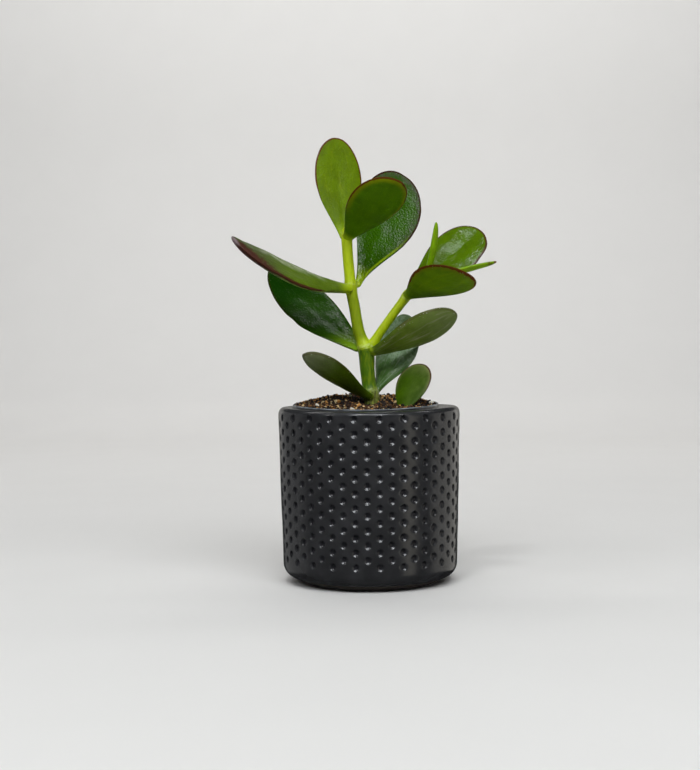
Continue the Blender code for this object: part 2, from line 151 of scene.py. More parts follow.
class Draft:
    """Points, faces and readings of a mesh while it is being made."""

    def __init__(self) -> None:
        """Starts empty."""
        self.points: list[Array] = []
        self.faces: list[tuple[int, ...]] = []
        self.readings: dict[Reading, list[Array]] = {}
        self.count = 0

    def add(self, points: Array | Point, **readings: Array | float) -> int:
        """Adds points.

        Args:
            points: rows of x, y, z in millimetres.
            **readings: one value a point for each reading, by the reading's name in lower case.

        Returns:
            The index of the first new point.
        """
        first = self.count
        points = np.asarray(points, float).reshape(-1, 3)
        self.points.append(points)
        self.count += len(points)
        for name, values in readings.items():
            self.readings.setdefault(Reading[name.upper()], []).append(np.broadcast_to(values, len(points)))
        return first

    def stitch(self, outer: Sequence[int], inner: Sequence[int]) -> None:
        """Joins two closed rings with quads.

        Args:
            outer: indices of the points of one ring.
            inner: indices of the points of the other, as many, each beside its partner.
        """
        for i in range(len(outer)):
            j = (i + 1) % len(outer)
            self.faces.append((outer[i], outer[j], inner[j], inner[i]))

    def fan(self, ring: int, count: int, middle: int) -> None:
        """Closes a ring of count points, given by the index of its first point, onto one point."""
        for i in range(count):
            self.faces.append((ring + i, ring + (i + 1) % count, middle))

    def lathe(self, rings: int, count: int, first: int = 0) -> None:
        """Joins a run of rings of count points each, one after the other, from the point with index first."""
        starts = [range(first + k * count, first + (k + 1) * count) for k in range(rings)]
        self.join_rings(starts)

    def join_rings(self, rings: Sequence[Sequence[int]]) -> None:
        """Joins rings of point indices, each to the next."""
        for outer, inner in zip(rings[:-1], rings[1:]):
            self.stitch(outer, inner)

    def finish(self, name: str, smooth: bool = True) -> Piece:
        """Makes the object, with its faces pointing out.

        Args:
            name: the object's name.
            smooth: whether its faces are shaded smooth.

        Returns:
            The new object, linked to the scene.
        """
        mesh = bpy.data.meshes.new(name)
        mesh.from_pydata((np.vstack(self.points) * MM).tolist(), [], self.faces)
        work = bmesh.new()
        work.from_mesh(mesh)
        bmesh.ops.recalc_face_normals(work, faces=work.faces)
        work.to_mesh(mesh)
        work.free()
        mesh.polygons.foreach_set("use_smooth", [smooth] * len(mesh.polygons))
        for reading, parts in self.readings.items():
            write_reading(mesh, reading, np.concatenate(parts))
        made = bpy.data.objects.new(name, mesh)
        bpy.context.scene.collection.objects.link(made)
        return made


def write_reading(mesh: bpy.types.Mesh, reading: Reading, values: Array) -> None:
    """Stores one value a point on a mesh."""
    layer = mesh.attributes.new(reading.value, "FLOAT", "POINT")
    layer.data.foreach_set("value", np.asarray(values, np.float32))


def point_rows(mesh: bpy.types.Mesh, what: str) -> Array:
    """Reads three numbers at each point of a mesh.

    Args:
        mesh: the mesh.
        what: "co" for the points' places in metres, or "normal" for their normals.

    Returns:
        One row a point.
    """
    flat = np.empty(len(mesh.vertices) * 3, np.float32)
    mesh.vertices.foreach_get(what, flat)
    return flat.reshape(-1, 3).astype(float)


def present(piece: Piece, finish: Paint, slot: str, *nodes: str) -> Piece:
    """Dresses a piece and sets it on its body, in the place of the solids that it stands for.

    Args:
        piece: the piece.
        finish: its material.
        slot: the record's material slot; not used.
        *nodes: names of the solids that it replaces.

    Returns:
        The finished piece.
    """
    piece.data.materials.append(finish)
    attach(piece, Body.ROOT.value)
    if nodes:
        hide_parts(*nodes)
    return piece


# Shader nodes


class Wiring:
    """Makes the nodes of one node tree."""

    MIX_SHARE: ClassVar[int] = 0
    MIX_LOW: ClassVar[int] = 6
    MIX_HIGH: ClassVar[int] = 7
    MIX_RESULT: ClassVar[int] = 2

    def __init__(self, owner: Paint | bpy.types.World) -> None:
        """Starts on the tree of a material or a world."""
        owner.use_nodes = True
        self.tree = owner.node_tree

    def feed(self, socket: Socket, value: Feed) -> None:
        """Links a socket to another, or sets its value.

        Args:
            socket: the socket.
            value: another socket, a number, or a tuple of three for a colour or a vector.
        """
        if isinstance(value, bpy.types.NodeSocket):
            self.tree.links.new(value, socket)
        elif isinstance(value, tuple):
            socket.default_value = (*value, 1.0) if len(socket.default_value) == 4 else value
        else:
            socket.default_value = value

    def wire(self, kind: str, result: int | str, feeds: dict[int | str, Feed], **settings: str) -> Socket:
        """Makes one node.

        Args:
            kind: the kind of node.
            result: the output that is wanted, by name or number.
            feeds: what goes into its inputs, by name or number.
            **settings: its own settings.

        Returns:
            The wanted output.
        """
        node = self.tree.nodes.new("ShaderNode" + kind)
        for name, value in settings.items():
            setattr(node, name, value)
        for label, value in feeds.items():
            self.feed(node.inputs[label], value)
        return node.outputs[result]

    def sum(self, kind: Sum, first: Feed, second: Feed) -> Socket:
        """The result of one piece of arithmetic."""
        return self.wire("Math", 0, {0: first, 1: second}, operation=kind.value)

    def times(self, first: Feed, second: Feed) -> Socket:
        """The product of two values."""
        return self.sum(Sum.TIMES, first, second)

    def drift(self, value: Feed, cloud: Feed, share: float) -> Socket:
        """A value moved by a share of a clouded one."""
        return self.sum(Sum.ADD, value, self.times(cloud, share))

    def mix(self, share: Feed, low: Feed, high: Feed) -> Socket:
        """A colour between two others, by a share from 0 to 1."""
        feeds = {self.MIX_SHARE: share, self.MIX_LOW: low, self.MIX_HIGH: high}
        return self.wire("Mix", self.MIX_RESULT, feeds, data_type="RGBA")

    def ease(self, value: Feed, low: float, high: float, start: float = 0.0, end: float = 1.0) -> Socket:
        """Eases from start, where the value is low, to end, where it is high."""
        feeds = {"Value": value, "From Min": low, "From Max": high, "To Min": start, "To Max": end}
        return self.wire("MapRange", "Result", feeds, interpolation_type="SMOOTHSTEP")

    def axis(self, place: Socket, letter: str) -> Socket:
        """One coordinate of a place."""
        return self.wire("SeparateXYZ", letter, {0: place})


class Shade(Wiring):
    """Makes the nodes of one material."""

    def __init__(self, name: str) -> None:
        """Starts a material with one principled surface.

        Args:
            name: the material's name.
        """
        self.material = bpy.data.materials.new(name)
        super().__init__(self.material)
        self.surface = self.tree.nodes["Principled BSDF"]
        self.place = self.wire("TexCoord", "Object", {})

    def set(self, **sockets: Feed) -> Paint:
        """Feeds sockets of the surface.

        Args:
            **sockets: what goes in, by the socket's name in lower case with _ for a space.

        Returns:
            The finished material.
        """
        for name, value in sockets.items():
            label = next(s.name for s in self.surface.inputs if s.name.lower().replace(" ", "_") == name)
            self.feed(self.surface.inputs[label], value)
        return self.material

    def stretched(self, x: float, y: float, z: float) -> Socket:
        """The place of a point, stretched by a factor along each axis."""
        return self.wire("Mapping", "Vector", {"Vector": self.place, "Scale": (x, y, z)})

    def join(self, x: Feed, y: Feed) -> Socket:
        """A place made from two values."""
        return self.wire("CombineXYZ", "Vector", {"X": x, "Y": y})

    def noise(self, size: float, detail: float = 3.0, rough: float = 0.6, at: Socket | None = None) -> Socket:
        """Clouded noise from 0 to 1, with features about size millimetres across."""
        feeds = {"Vector": at or self.place, "Scale": 1.0 / (size * MM), "Detail": detail, "Roughness": rough}
        return self.wire("TexNoise", "Fac", feeds)

    def cells(self, size: float, feature: str = "F1") -> Socket:
        """Distance within rounded cells about size millimetres across."""
        feeds = {"Vector": self.place, "Scale": 1.0 / (size * MM)}
        return self.wire("TexVoronoi", "Distance", feeds, feature=feature)

    def read(self, reading: Reading) -> Socket:
        """A value that the mesh carries."""
        return self.wire("Attribute", "Fac", {}, attribute_name=reading.value)

    def bump(self, height: Socket, depth: float, under: Socket | None = None) -> Socket:
        """A surface normal raised by a height.

        Args:
            height: the height, from 0 to 1.
            depth: rise from height 0 to height 1, in millimetres.
            under: a normal to raise it from.

        Returns:
            The new normal.
        """
        feeds = {"Distance": depth * MM, "Strength": 1.0, "Height": height}
        if under is not None:
            feeds["Normal"] = under
        return self.wire("Bump", "Normal", feeds)


# Finishes


@dataclass(frozen=True)
class Glaze:
    """Dark satin glaze, thin and worn to a paler grey on the lip, over stoneware."""

    name: str = "dark_glaze"
    body: Colour = (0.0210, 0.0213, 0.0228)
    # Pooled glaze and painted shade in the dimples.
    pooled_and_shaded: Colour = (0.010, 0.010, 0.013)
    thin: Colour = (0.045, 0.046, 0.050)
    edge: Colour = (0.33, 0.37, 0.40)
    clay: Colour = (0.10, 0.085, 0.072)
    cloudy: float = 1.45
    gritty: float = 1.5
    speck_share: float = 0.25
    rough: float = 0.19
    bare_rough: float = 0.8
    swell: float = 0.05
    orange_peel: float = 0.005
    foot_z: float = 2.2
    foot_fade: float = 0.5

    def material(self) -> Paint:
        """Makes the material.

        Returns:
            The material.
        """
        shade = Shade(self.name)
        cloud = shade.noise(9.0, rough=0.55)
        fine = shade.noise(0.55)
        speck = shade.ease(shade.cells(1.6), 0.10, 0.16, 1.0, 0.0)
        colour = shade.mix(shade.ease(cloud, 0.35, 0.7), self.body, deepened(self.body, self.cloudy))
        colour = shade.mix(shade.times(speck, self.speck_share), colour, self.thin)
        # The dimples darken towards their deepest point: pooled glaze and painted shade.
        colour = shade.mix(shade.ease(shade.read(Reading.PIT), 0.15, 0.9), colour, self.pooled_and_shaded)
        worn = shade.ease(shade.noise(5.0), 0.3, 0.65, 0.25, 1.0)
        colour = shade.mix(shade.times(shade.read(Reading.RIM), worn), colour, self.edge)
        height = shade.axis(shade.place, "Z")
        foot = shade.ease(height, (self.foot_z - self.foot_fade) * MM, self.foot_z * MM, 1.0, 0.0)
        grit = shade.mix(shade.ease(fine, 0.3, 0.75), self.clay, deepened(self.clay, self.gritty))
        colour = shade.mix(foot, colour, grit)
        rough = shade.ease(fine, 0.2, 0.85, self.rough - 0.03, self.rough + 0.05)
        rough = shade.sum(Sum.MOST, rough, shade.times(foot, self.bare_rough))
        normal = shade.bump(shade.noise(3.2, 2.0, 0.5), self.swell, shade.bump(fine, self.orange_peel))
        return shade.set(base_color=colour, roughness=rough, normal=normal, specular_ior_level=0.5)


@dataclass(frozen=True)
class LeafSkin:
    """Thick waxy leaf: deeper in the middle, pale at its base, with a dark red-brown margin."""

    name: str
    upper: Colour
    lower: Colour
    clouds: float = 1.25
    mottled: float = 0.7
    mottle_share: float = 0.3
    base: Colour = (0.34, 0.48, 0.008)
    base_from: float = 0.02
    base_reach: float = 0.22
    end_tint: Colour = (0.0, 0.0, 0.0)
    end_share: float = 0.0
    end_from: float = 0.35
    end_to: float = 0.75
    end_grain: float = 0.0
    dotted: float = 2.1
    dot_share: float = 0.22
    bloom_and_sheen: float = 0.05
    bloom_and_sheen_colour: Colour = (0.26, 0.31, 0.22)
    bloom_and_sheen_side: bool = False
    bloom_and_sheen_end: float = 0.0
    bloom_and_sheen_grain: float = 0.0
    streak: float = 0.25
    streak_colour: Colour = (0.20, 0.26, 0.12)
    lit_edge: float = 0.0
    rim_glow: float = 0.0
    rim_colour: Colour = (0.26, 0.22, 0.0)
    rim_width: float = 2.8
    rim_mottle: float = 0.0
    margin: Colour = (0.055, 0.008, 0.008)
    margin_width: float = 0.75
    margin_from: float = 0.30
    margin_rise: float = 0.3
    margin_strength: float = 0.9
    margin_wander: float = 0.5
    blush: float = 0.0
    blush_from: float = 0.86
    blush_rise: float = 0.14
    blush_side: float = 0.0
    tip_pale: float = 0.0
    tip_colour: Colour = (0.24, 0.19, 0.20)
    speckle: float = 0.0
    fleck_colour: Colour = (0.62, 0.66, 0.52)
    rough: float = 0.34
    lower_rough: float = 0.5
    pebble: float = 0.05
    pebble_size: float = 0.95
    grain_share: float = 0.4
    swell: float = 0.05
    glow: float = 0.08
    glow_depth: float = 0.0015
    shine: float = 0.3

    def material(self) -> Paint:
        """Makes the material.

        Returns:
            The material.
        """
        shade = Shade(self.name)
        cloud, mottle = shade.noise(7.0), shade.noise(1.6)
        colour = self.flesh(shade, cloud, mottle)
        colour = self.frost_and_sheen(shade, colour, cloud, mottle)
        colour = self.edged(shade, colour, mottle)
        pebbles = shade.ease(shade.cells(self.pebble_size, "SMOOTH_F1"), 0.0, 0.6, 1.0, 0.0)
        grain = shade.noise(0.35)
        normal = shade.bump(grain, self.pebble * self.grain_share, shade.bump(cloud, self.swell))
        normal = shade.bump(pebbles, self.pebble, normal)
        rough = shade.ease(shade.read(Reading.FACE), -0.2, 0.2, self.lower_rough, self.rough)
        rough = shade.sum(Sum.ADD, rough, shade.ease(grain, 0.2, 0.8, -0.04, 0.08))
        return shade.set(
            base_color=colour, roughness=rough, normal=normal, subsurface_weight=self.glow,
            subsurface_scale=self.glow_depth, subsurface_radius=(0.6, 1.0, 0.25),
            specular_ior_level=self.shine,
        )

    def flesh(self, shade: Shade, cloud: Socket, mottle: Socket) -> Socket:
        """Colours the two faces, with the tint of the end, the pale base and fine dots.

        Args:
            shade: the material being made.
            cloud: wide noise.
            mottle: finer noise.

        Returns:
            The colour so far.
        """
        along = shade.read(Reading.ALONG)
        upper = shade.mix(shade.ease(cloud, 0.3, 0.72), self.upper, deepened(self.upper, self.clouds))
        patches = shade.times(shade.ease(mottle, 0.42, 0.75), self.mottle_share)
        upper = shade.mix(patches, upper, deepened(self.upper, self.mottled))
        lower = shade.mix(shade.ease(cloud, 0.3, 0.7), self.lower, deepened(self.lower, self.clouds))
        colour = shade.mix(shade.ease(shade.read(Reading.FACE), -0.25, 0.10), lower, upper)
        # The end tint is the leaf's own colour on some skins, painted sheen on the deep, lone and low gloss
        # skins, and painted shade on the shaded skin.
        if self.end_share:
            way = shade.drift(along, cloud, 0.2)
            end = shade.ease(way, self.end_from + 0.1, self.end_to + 0.1, 0.0, self.end_share)
            if self.end_grain:
                end = shade.times(end, shade.ease(mottle, 0.42, 0.60, 1.0 - self.end_grain, 1.0))
            colour = shade.mix(end, colour, self.end_tint)
        neck = shade.ease(shade.drift(along, cloud, 0.08), self.base_from, self.base_reach, 1.0, 0.0)
        colour = shade.mix(neck, colour, self.base)
        dots = shade.times(shade.ease(shade.cells(0.95), 0.16, 0.30, 1.0, 0.0), self.dot_share)
        return shade.mix(dots, colour, deepened(self.upper, self.dotted))

    def frost_and_sheen(self, shade: Shade, colour: Socket, cloud: Socket, mottle: Socket) -> Socket:
        """Lays the bloom and the streaks along the leaf over its colour. The bloom is painted sheen, partly
        real wax bloom on the waxy skin; the pale streaks of the low gloss skin are painted sheen too.

        Args:
            shade: the material being made.
            colour: the colour so far.
            cloud: wide noise.
            mottle: finer noise.

        Returns:
            The colour so far.
        """
        along, across = shade.read(Reading.ALONG), shade.read(Reading.ACROSS)
        # Painted sheen, in part real wax bloom: a pale cloud over the colour, kept to one side of the leaf on
        # the skins that ask for it.
        bloom_and_sheen = shade.times(shade.ease(cloud, 0.25, 0.8), self.bloom_and_sheen)
        if self.bloom_and_sheen_side:
            bloom_and_sheen = shade.times(bloom_and_sheen, shade.ease(across, -0.75, 0.65, 1.0, 0.0))
        if self.bloom_and_sheen_end:
            kept = shade.ease(along, self.end_from, self.end_to, 1.0, 1.0 - self.bloom_and_sheen_end)
            bloom_and_sheen = shade.times(bloom_and_sheen, kept)
        if self.bloom_and_sheen_grain:
            grains = shade.ease(mottle, 0.36, 0.62, 1.0 - self.bloom_and_sheen_grain, 1.0)
            bloom_and_sheen = shade.times(shade.ease(bloom_and_sheen, 0.0, 1.0), grains)
        colour = shade.mix(bloom_and_sheen, colour, self.bloom_and_sheen_colour)
        grain_way = shade.join(shade.times(along, 0.006), shade.times(across, 0.012))
        streaks = shade.ease(shade.noise(2.2, at=grain_way), 0.5, 0.75, 0.0, self.streak)
        return shade.mix(streaks, colour, self.streak_colour)

    def edged(self, shade: Shade, colour: Socket, mottle: Socket) -> Socket:
        """Adds what follows the leaf's edge: a painted highlight line, a pale band that is painted highlight
        on the lone leaf's skin, red margin, blush, pale tip, and flecks within them.

        Args:
            shade: the material being made.
            colour: the colour so far.
            mottle: fine noise.

        Returns:
            The finished colour.
        """
        edge, along, across = (shade.read(name) for name in (Reading.EDGE, Reading.ALONG, Reading.ACROSS))
        # Painted highlight: a pale line just inside the edge, where the leaf's thickness catches the light.
        if self.lit_edge:
            line = shade.ease(edge, 0.45, 0.8, 0.0, self.lit_edge)
            line = shade.times(line, shade.ease(edge, 1.2, 1.9, 1.0, 0.0))
            line = shade.times(line, shade.ease(along, 0.30, 0.62, 1.0, 0.0))
            line = shade.times(line, shade.ease(across, -0.6, -0.2, 1.0, 0.0))
            colour = shade.mix(line, colour, self.base)
        # A pale band inside the edge: the leaf's own colour on most skins, a painted highlight on the lone
        # leaf's skin.
        if self.rim_glow:
            glow = shade.ease(edge, 0.5, self.rim_width, self.rim_glow, 0.0)
            glow = shade.times(glow, shade.ease(along, 0.25, 0.6))
            glow = shade.times(glow, shade.ease(mottle, 0.38, 0.62, 1.0 - self.rim_mottle, 1.0))
            colour = shade.mix(glow, colour, self.rim_colour)
        wander = shade.times(shade.sum(Sum.TAKE, shade.noise(2.4), 0.5), 1.1)
        full_from = self.margin_from + self.margin_rise
        reach = shade.ease(along, self.margin_from, full_from, 0.0, self.margin_width)
        inside = shade.sum(Sum.TAKE, reach, shade.drift(edge, wander, self.margin_wander))
        red = shade.times(shade.ease(inside, -0.16, 0.14), self.margin_strength)
        ragged = shade.drift(along, shade.sum(Sum.TAKE, mottle, 0.5), 0.6)
        if self.blush_side:
            ragged = shade.drift(ragged, across, self.blush_side)
        tip = shade.ease(ragged, self.blush_from, self.blush_from + self.blush_rise, 0.0, self.blush)
        colour = shade.mix(shade.sum(Sum.MOST, red, tip), colour, self.margin)
        if self.tip_pale:
            colour = shade.mix(shade.ease(along, 0.968, 0.995, 0.0, self.tip_pale), colour, self.tip_colour)
        flecks = shade.ease(shade.cells(1.3), 0.09, 0.15, self.speckle, 0.0)
        return shade.mix(shade.times(flecks, shade.ease(edge, 0.6, 2.4, 1.0, 0.0)), colour, self.fleck_colour)


@dataclass(frozen=True)
class StemSkin:
    """Smooth young stem: dark green below, bright yellow-green above, with pale scars at its nodes."""

    name: str = "stem_skin"
    old: Colour = (0.066, 0.155, 0.000)
    waist: Colour = (0.24, 0.33, 0.000)
    woody: Colour = (0.20, 0.23, 0.05)
    young: Colour = (0.50, 0.64, 0.005)
    fresh: Colour = (0.49, 0.62, 0.002)
    scar: Colour = (0.62, 0.72, 0.28)
    woody_span: Band = (82.0, 86.0)
    old_span: Band = (102.0, 103.4)
    waist_start: Band = (104.0, 109.0)
    waist_end: Band = (123.0, 135.0)
    wander: float = 2.0
    streaked: float = 0.62
    streak_share: float = 0.50
    scar_share: float = 0.8
    rough: float = 0.42
    glow: float = 0.10
    glow_depth: float = 0.0015
    shine: float = 0.25

    def material(self) -> Paint:
        """Makes the material.

        Returns:
            The material.
        """
        shade = Shade(self.name)
        cloud = shade.noise(3.5)
        streak = shade.noise(0.8, at=shade.stretched(1.0, 1.0, 0.12))
        height = shade.drift(shade.read(Reading.HEIGHT), cloud, self.wander)
        foot = shade.mix(shade.ease(streak, 0.35, 0.65), deepened(self.woody, 0.5), deepened(self.woody, 1.4))
        colour = shade.mix(shade.ease(height, *self.woody_span), foot, self.old)
        waist = shade.ease(height, *self.waist_start)
        waist = shade.times(waist, shade.ease(height, *self.waist_end, 1.0, 0.0))
        grown = shade.mix(waist, self.young, self.waist)
        colour = shade.mix(shade.ease(height, *self.old_span), colour, grown)
        colour = shade.mix(shade.read(Reading.SIDE_SHOOT), colour, self.fresh)
        streaks = shade.times(shade.ease(streak, 0.42, 0.70), self.streak_share)
        colour = shade.mix(streaks, colour, deepened(self.young, self.streaked))
        colour = shade.mix(shade.times(shade.read(Reading.TONE), self.scar_share), colour, self.scar)
        grain = shade.noise(0.5, at=shade.stretched(1.0, 1.0, 0.35))
        return shade.set(
            base_color=colour, roughness=shade.ease(grain, 0.2, 0.8, self.rough - 0.06, self.rough + 0.10),
            normal=shade.bump(grain, 0.05, shade.bump(streak, 0.06)), subsurface_weight=self.glow,
            subsurface_scale=self.glow_depth, subsurface_radius=(0.7, 1.0, 0.3),
            specular_ior_level=self.shine,
        )


@dataclass(frozen=True)
class Crumbs:
    """Damp peat and bark: dark brown with lighter, rusty bits."""

    name: str
    dark: Colour = (0.010, 0.006, 0.004)
    middle: Colour = (0.16, 0.070, 0.025)
    rust: Colour = (0.62, 0.290, 0.070)
    straw: Colour = (0.95, 0.74, 0.38)
    rough: float = 0.85
    grit: float = 0.22
    lumps: float = 0.4

    def material(self) -> Paint:
        """Makes the material.

        Returns:
            The material.
        """
        shade = Shade(self.name)
        patch, fine = shade.noise(1.4, rough=0.65), shade.noise(0.30, rough=0.65)
        tone = shade.drift(shade.read(Reading.TONE), shade.sum(Sum.TAKE, patch, 0.5), 0.3)
        colour = shade.mix(shade.ease(tone, 0.34, 0.58), self.dark, self.middle)
        colour = shade.mix(shade.ease(tone, 0.68, 0.84), colour, self.rust)
        colour = shade.mix(shade.ease(tone, 0.89, 0.96), colour, self.straw)
        colour = shade.mix(shade.ease(fine, 0.40, 0.80, 0.0, 0.4), colour, self.dark)
        normal = shade.bump(fine, self.grit, shade.bump(patch, self.lumps))
        return shade.set(base_color=colour, roughness=self.rough, normal=normal, specular_ior_level=0.3)


@dataclass(frozen=True)
class Perlite:
    """White, crumbly volcanic grains, stained at their pores."""

    name: str = "perlite"
    clean: Colour = (0.92, 0.88, 0.78)
    stained: Colour = (0.42, 0.32, 0.20)
    rough: float = 0.8
    pores: float = 0.18
    grit: float = 0.15

    def material(self) -> Paint:
        """Makes the material.

        Returns:
            The material.
        """
        shade = Shade(self.name)
        fine = shade.noise(0.45)
        colour = shade.mix(shade.ease(fine, 0.48, 0.78, 0.0, 0.8), self.clean, self.stained)
        normal = shade.bump(shade.cells(0.5), self.pores, shade.bump(fine, self.grit))
        return shade.set(base_color=colour, roughness=self.rough, normal=normal)


@dataclass(frozen=True)
class PaleFloor:
    """Plain pale floor of the studio."""

    name: str = "pale_floor"
    colour: Colour = (0.80, 0.79, 0.77)
    cloudy: float = 0.97
    rough: float = 0.7

    def material(self) -> Paint:
        """Makes the material.

        Returns:
            The material.
        """
        shade = Shade(self.name)
        cloud = shade.noise(60.0, 2.0, 0.5)
        return shade.set(
            base_color=shade.mix(cloud, self.colour, deepened(self.colour, self.cloudy)),
            roughness=self.rough,
        )


# Pot


@dataclass
class Pot:
    """Thrown pot with rows of round dimples, a rounded rim and a thin lip a little off its centre."""

    foot_height: float = 2.4
    underside_radius: float = 33.2
    low_radius: float = 38.4
    low_z: float = 8.2
    top_radius: float = 40.0
    top_z: float = 72.2
    bend_z: float = 73.6
    crown_radius: float = 37.4
    crown_z: float = 76.5
    lip_radius: float = 31.6
    lip_width: float = 0.75
    lip_ridge: float = 0.2
    lip_z: float = 77.6
    lip_round: float = 0.1
    lip_offset: float = -1.45
    lip_foot_z: float = 75.9
    pale_rise: float = 1.0
    throat_z: float = 68.0
    floor_z: float = 6.6
    floor_shift: float = 0.5
    back_rise: float = 1.8
    front_dip: float = 1.5
    dip_spread: float = 1.5
    wall_unevenness: float = 0.10
    rim_unevenness: float = 0.06
    columns: int = 48
    rows: int = 21
    first_row_z: float = 72.3
    pitch: float = 6.13
    pit_radius: float = 1.6
    pit_depth: float = 0.95
    pit_shift: float = 0.6
    pit_power: float = 1.7
    pit_reach: float = 1.12
    pit_edge: Band = (0.85, 1.15)
    pit_softness: float = 0.55
    turn: float = -84.0
    band_top_z: float = 74.2
    band_low_z: float = 8.4
    steps: int = 4
    finish: Glaze = field(default_factory=Glaze)
    uneven: Ripple = field(default_factory=lambda: Ripple(5, 60.0, 9.0))

    PIT_SHARES: ClassVar[Row] = (0.2, 0.4, 0.58, 0.74, 0.87, 0.97, 1.06, 1.15)
    SPREAD_SHARES: ClassVar[Row] = (0.28, 0.62)
    # Each side of the diamond round a dimple: the column and row it starts from, and its way along each.
    DIAMOND: ClassVar[tuple[tuple[int, int, int, int], ...]] = (
        (0, -1, 1, 1), (1, 0, -1, 1), (0, 1, -1, -1), (-1, 0, 1, -1),
    )
    RIM_HEIGHTS: ClassVar[Row] = (
        74.5, 74.8, 75.08, 75.34, 75.58, 75.8, 75.99, 76.14, 76.27, 76.37, 76.44, 76.48,
    )
    # Radius and height of each turned ring, over the rim and the lip and down to the floor inside.
    RIM_TURNED: ClassVar[tuple[Band, ...]] = (
        (37.4, 76.5), (36.7, 76.5), (35.8, 76.47), (34.9, 76.41), (34.2, 76.32), (33.5, 76.16), (32.9, 75.98),
        (32.5, 75.9), (32.3, 75.98), (32.25, 76.3), (32.22, 76.8), (32.18, 77.25), (32.1, 77.5),
        (31.97, 77.6), (31.82, 77.58), (31.70, 77.5), (31.63, 77.35), (31.58, 77.0), (31.52, 76.0),
        (31.42, 72.0), (31.3, 68.0), (30.5, 40.0), (29.6, 11.0), (29.1, 8.0), (27.5, 6.6), (14.0, 6.6),
    )
    LIP_PALE: ClassVar[Control] = (31.55, 31.68, 32.14, 32.24)
    SHIFT_RADII: ClassVar[Row] = (27.5, 29.6, 31.3, 32.3, 34.2, 36.5)
    SHIFT_SHARES: ClassVar[Row] = (0.5, 0.5, 1.0, 1.0, 0.25, 0.0)
    LOW_HEIGHTS: ClassVar[Row] = (7.5, 6.7, 5.9, 5.1, 4.4, 3.8, 3.3, 2.9, 2.6, 2.44)
    FOOT_TURNED: ClassVar[tuple[Band, ...]] = (
        (33.2, 2.4), (31.4, 2.4), (29.9, 2.4), (29.5, 2.3), (29.4, 2.05), (29.4, 0.55), (29.26, 0.2),
        (28.95, 0.0), (24.0, 0.0), (12.0, 0.0),
    )

    def wall_radius(self, z: Array | float) -> Array:
        """Outer radius at a height: tapered wall, round shoulder above it and round edge below it.

        Args:
            z: the height.

        Returns:
            The radius.
        """
        z = np.asarray(z, float)
        above = np.clip((z - self.bend_z) / (self.crown_z - self.bend_z), 0.0, 1.0)
        below = np.clip((self.low_z - z) / (self.low_z - self.foot_height), 0.0, 1.0)
        middle = np.clip((z - self.low_z) / (self.top_z - self.low_z), 0.0, 1.0)
        radius = self.low_radius + (self.top_radius - self.low_radius) * middle
        radius -= (self.top_radius - self.crown_radius) * (1 - np.sqrt(1 - above ** 2))
        return radius - (self.low_radius - self.underside_radius) * (1 - np.sqrt(1 - below ** 2))

    def drop(self, angle: Array, z: Array | float) -> Array:
        """How far the rim sits below level at an angle and a height: it dips towards the front."""
        front = np.maximum(0.0, np.cos(angle + math.pi / 2)) ** self.dip_spread
        return self.front_dip * front * np.clip((z - self.bend_z) / (self.lip_z - self.bend_z), 0.0, 1.0)

    def lip_share(self, radius: float, z: float) -> float:
        """How far a place on the lip takes part in its rise towards the back.

        Args:
            radius: distance of the place from the pot's axis.
            z: its height.

        Returns:
            The share, from 0 to 1.
        """
        if radius > self.lip_radius + self.lip_width:
            return 0.0
        low = self.lip_foot_z if radius > self.lip_radius + self.lip_ridge else self.throat_z
        return float(np.clip((z - low) / (self.lip_z - self.lip_round - low), 0.0, 1.0))

    def wall(self, angle: Array | float, z: Array | float, depth: Array | float = 0.0) -> Array:
        """Points on the outside of the pot, with the slight unevenness of thrown clay.

        Args:
            angle: angles of the points round the pot.
            z: their heights.
            depth: how far they are pressed in.

        Returns:
            The points.
        """
        angle, z = np.broadcast_arrays(np.asarray(angle, float), np.asarray(z, float))
        radius = self.wall_radius(z)
        radius = radius - depth - self.wall_unevenness * (1 + self.uneven.over(ring_points(angle, radius, z)))
        return ring_points(angle, radius, z - self.drop(angle, z))

    def row_z(self, row: float) -> float:
        """Height of a row of dimples, or of a place between two rows; the bands above and below differ.

        Args:
            row: number of the row, from 0 at the top.

        Returns:
            The height.
        """
        rows = [-1, *range(self.rows), self.rows]
        heights = [self.first_row_z - k * self.pitch / 2 for k in range(self.rows)]
        return float(np.interp(row, rows, [self.band_top_z, *heights, self.band_low_z]))

    def column_angle(self, column: float) -> float:
        """Angle of a column of dimples round the pot."""
        return math.radians(self.turn) + 2 * math.pi * column / self.columns

    def ring_angles(self) -> Array:
        """Angles of the points of a whole ring, in line with the dimple columns."""
        return math.radians(self.turn) + ring_turns(self.columns * self.steps)

    def add_wall_point(self, draft: Draft, known: dict[tuple[int, int], int], column: int, row: int) -> int:
        """Adds a point on the border between two dimples, if it isn't there yet.

        Args:
            draft: the mesh being made.
            known: indices of the points added so far, by column and row.
            column: its column, in fine steps.
            row: its row, in fine steps.

        Returns:
            The index of the point.
        """
        key = (column % (self.columns * self.steps), row)
        if key not in known:
            place = self.wall(self.column_angle(column / self.steps), self.row_z(row / self.steps))
            known[key] = draft.add(place, pit=0.0, rim=0.0)
        return known[key]

    def add_dimples(self, draft: Draft) -> tuple[list[int], list[int]]:
        """Adds the dimpled wall.

        Args:
            draft: the mesh being made.

        Returns:
            The point indices of the wall's upper and lower borders.
        """
        known: dict[tuple[int, int], int] = {}
        for column in range(self.columns):
            for row in range(self.rows):
                if (column + row) % 2 == 0:
                    self.add_pit(draft, known, column, row)
        upper, lower = [], []
        last = self.rows - 1
        for c in range(self.columns * self.steps):
            phase = abs((c % (2 * self.steps)) - self.steps)
            upper.append(known[c, -phase])
            shift = phase if last % 2 == 0 else self.steps - phase
            lower.append(known[c, last * self.steps + shift])
        return upper, lower

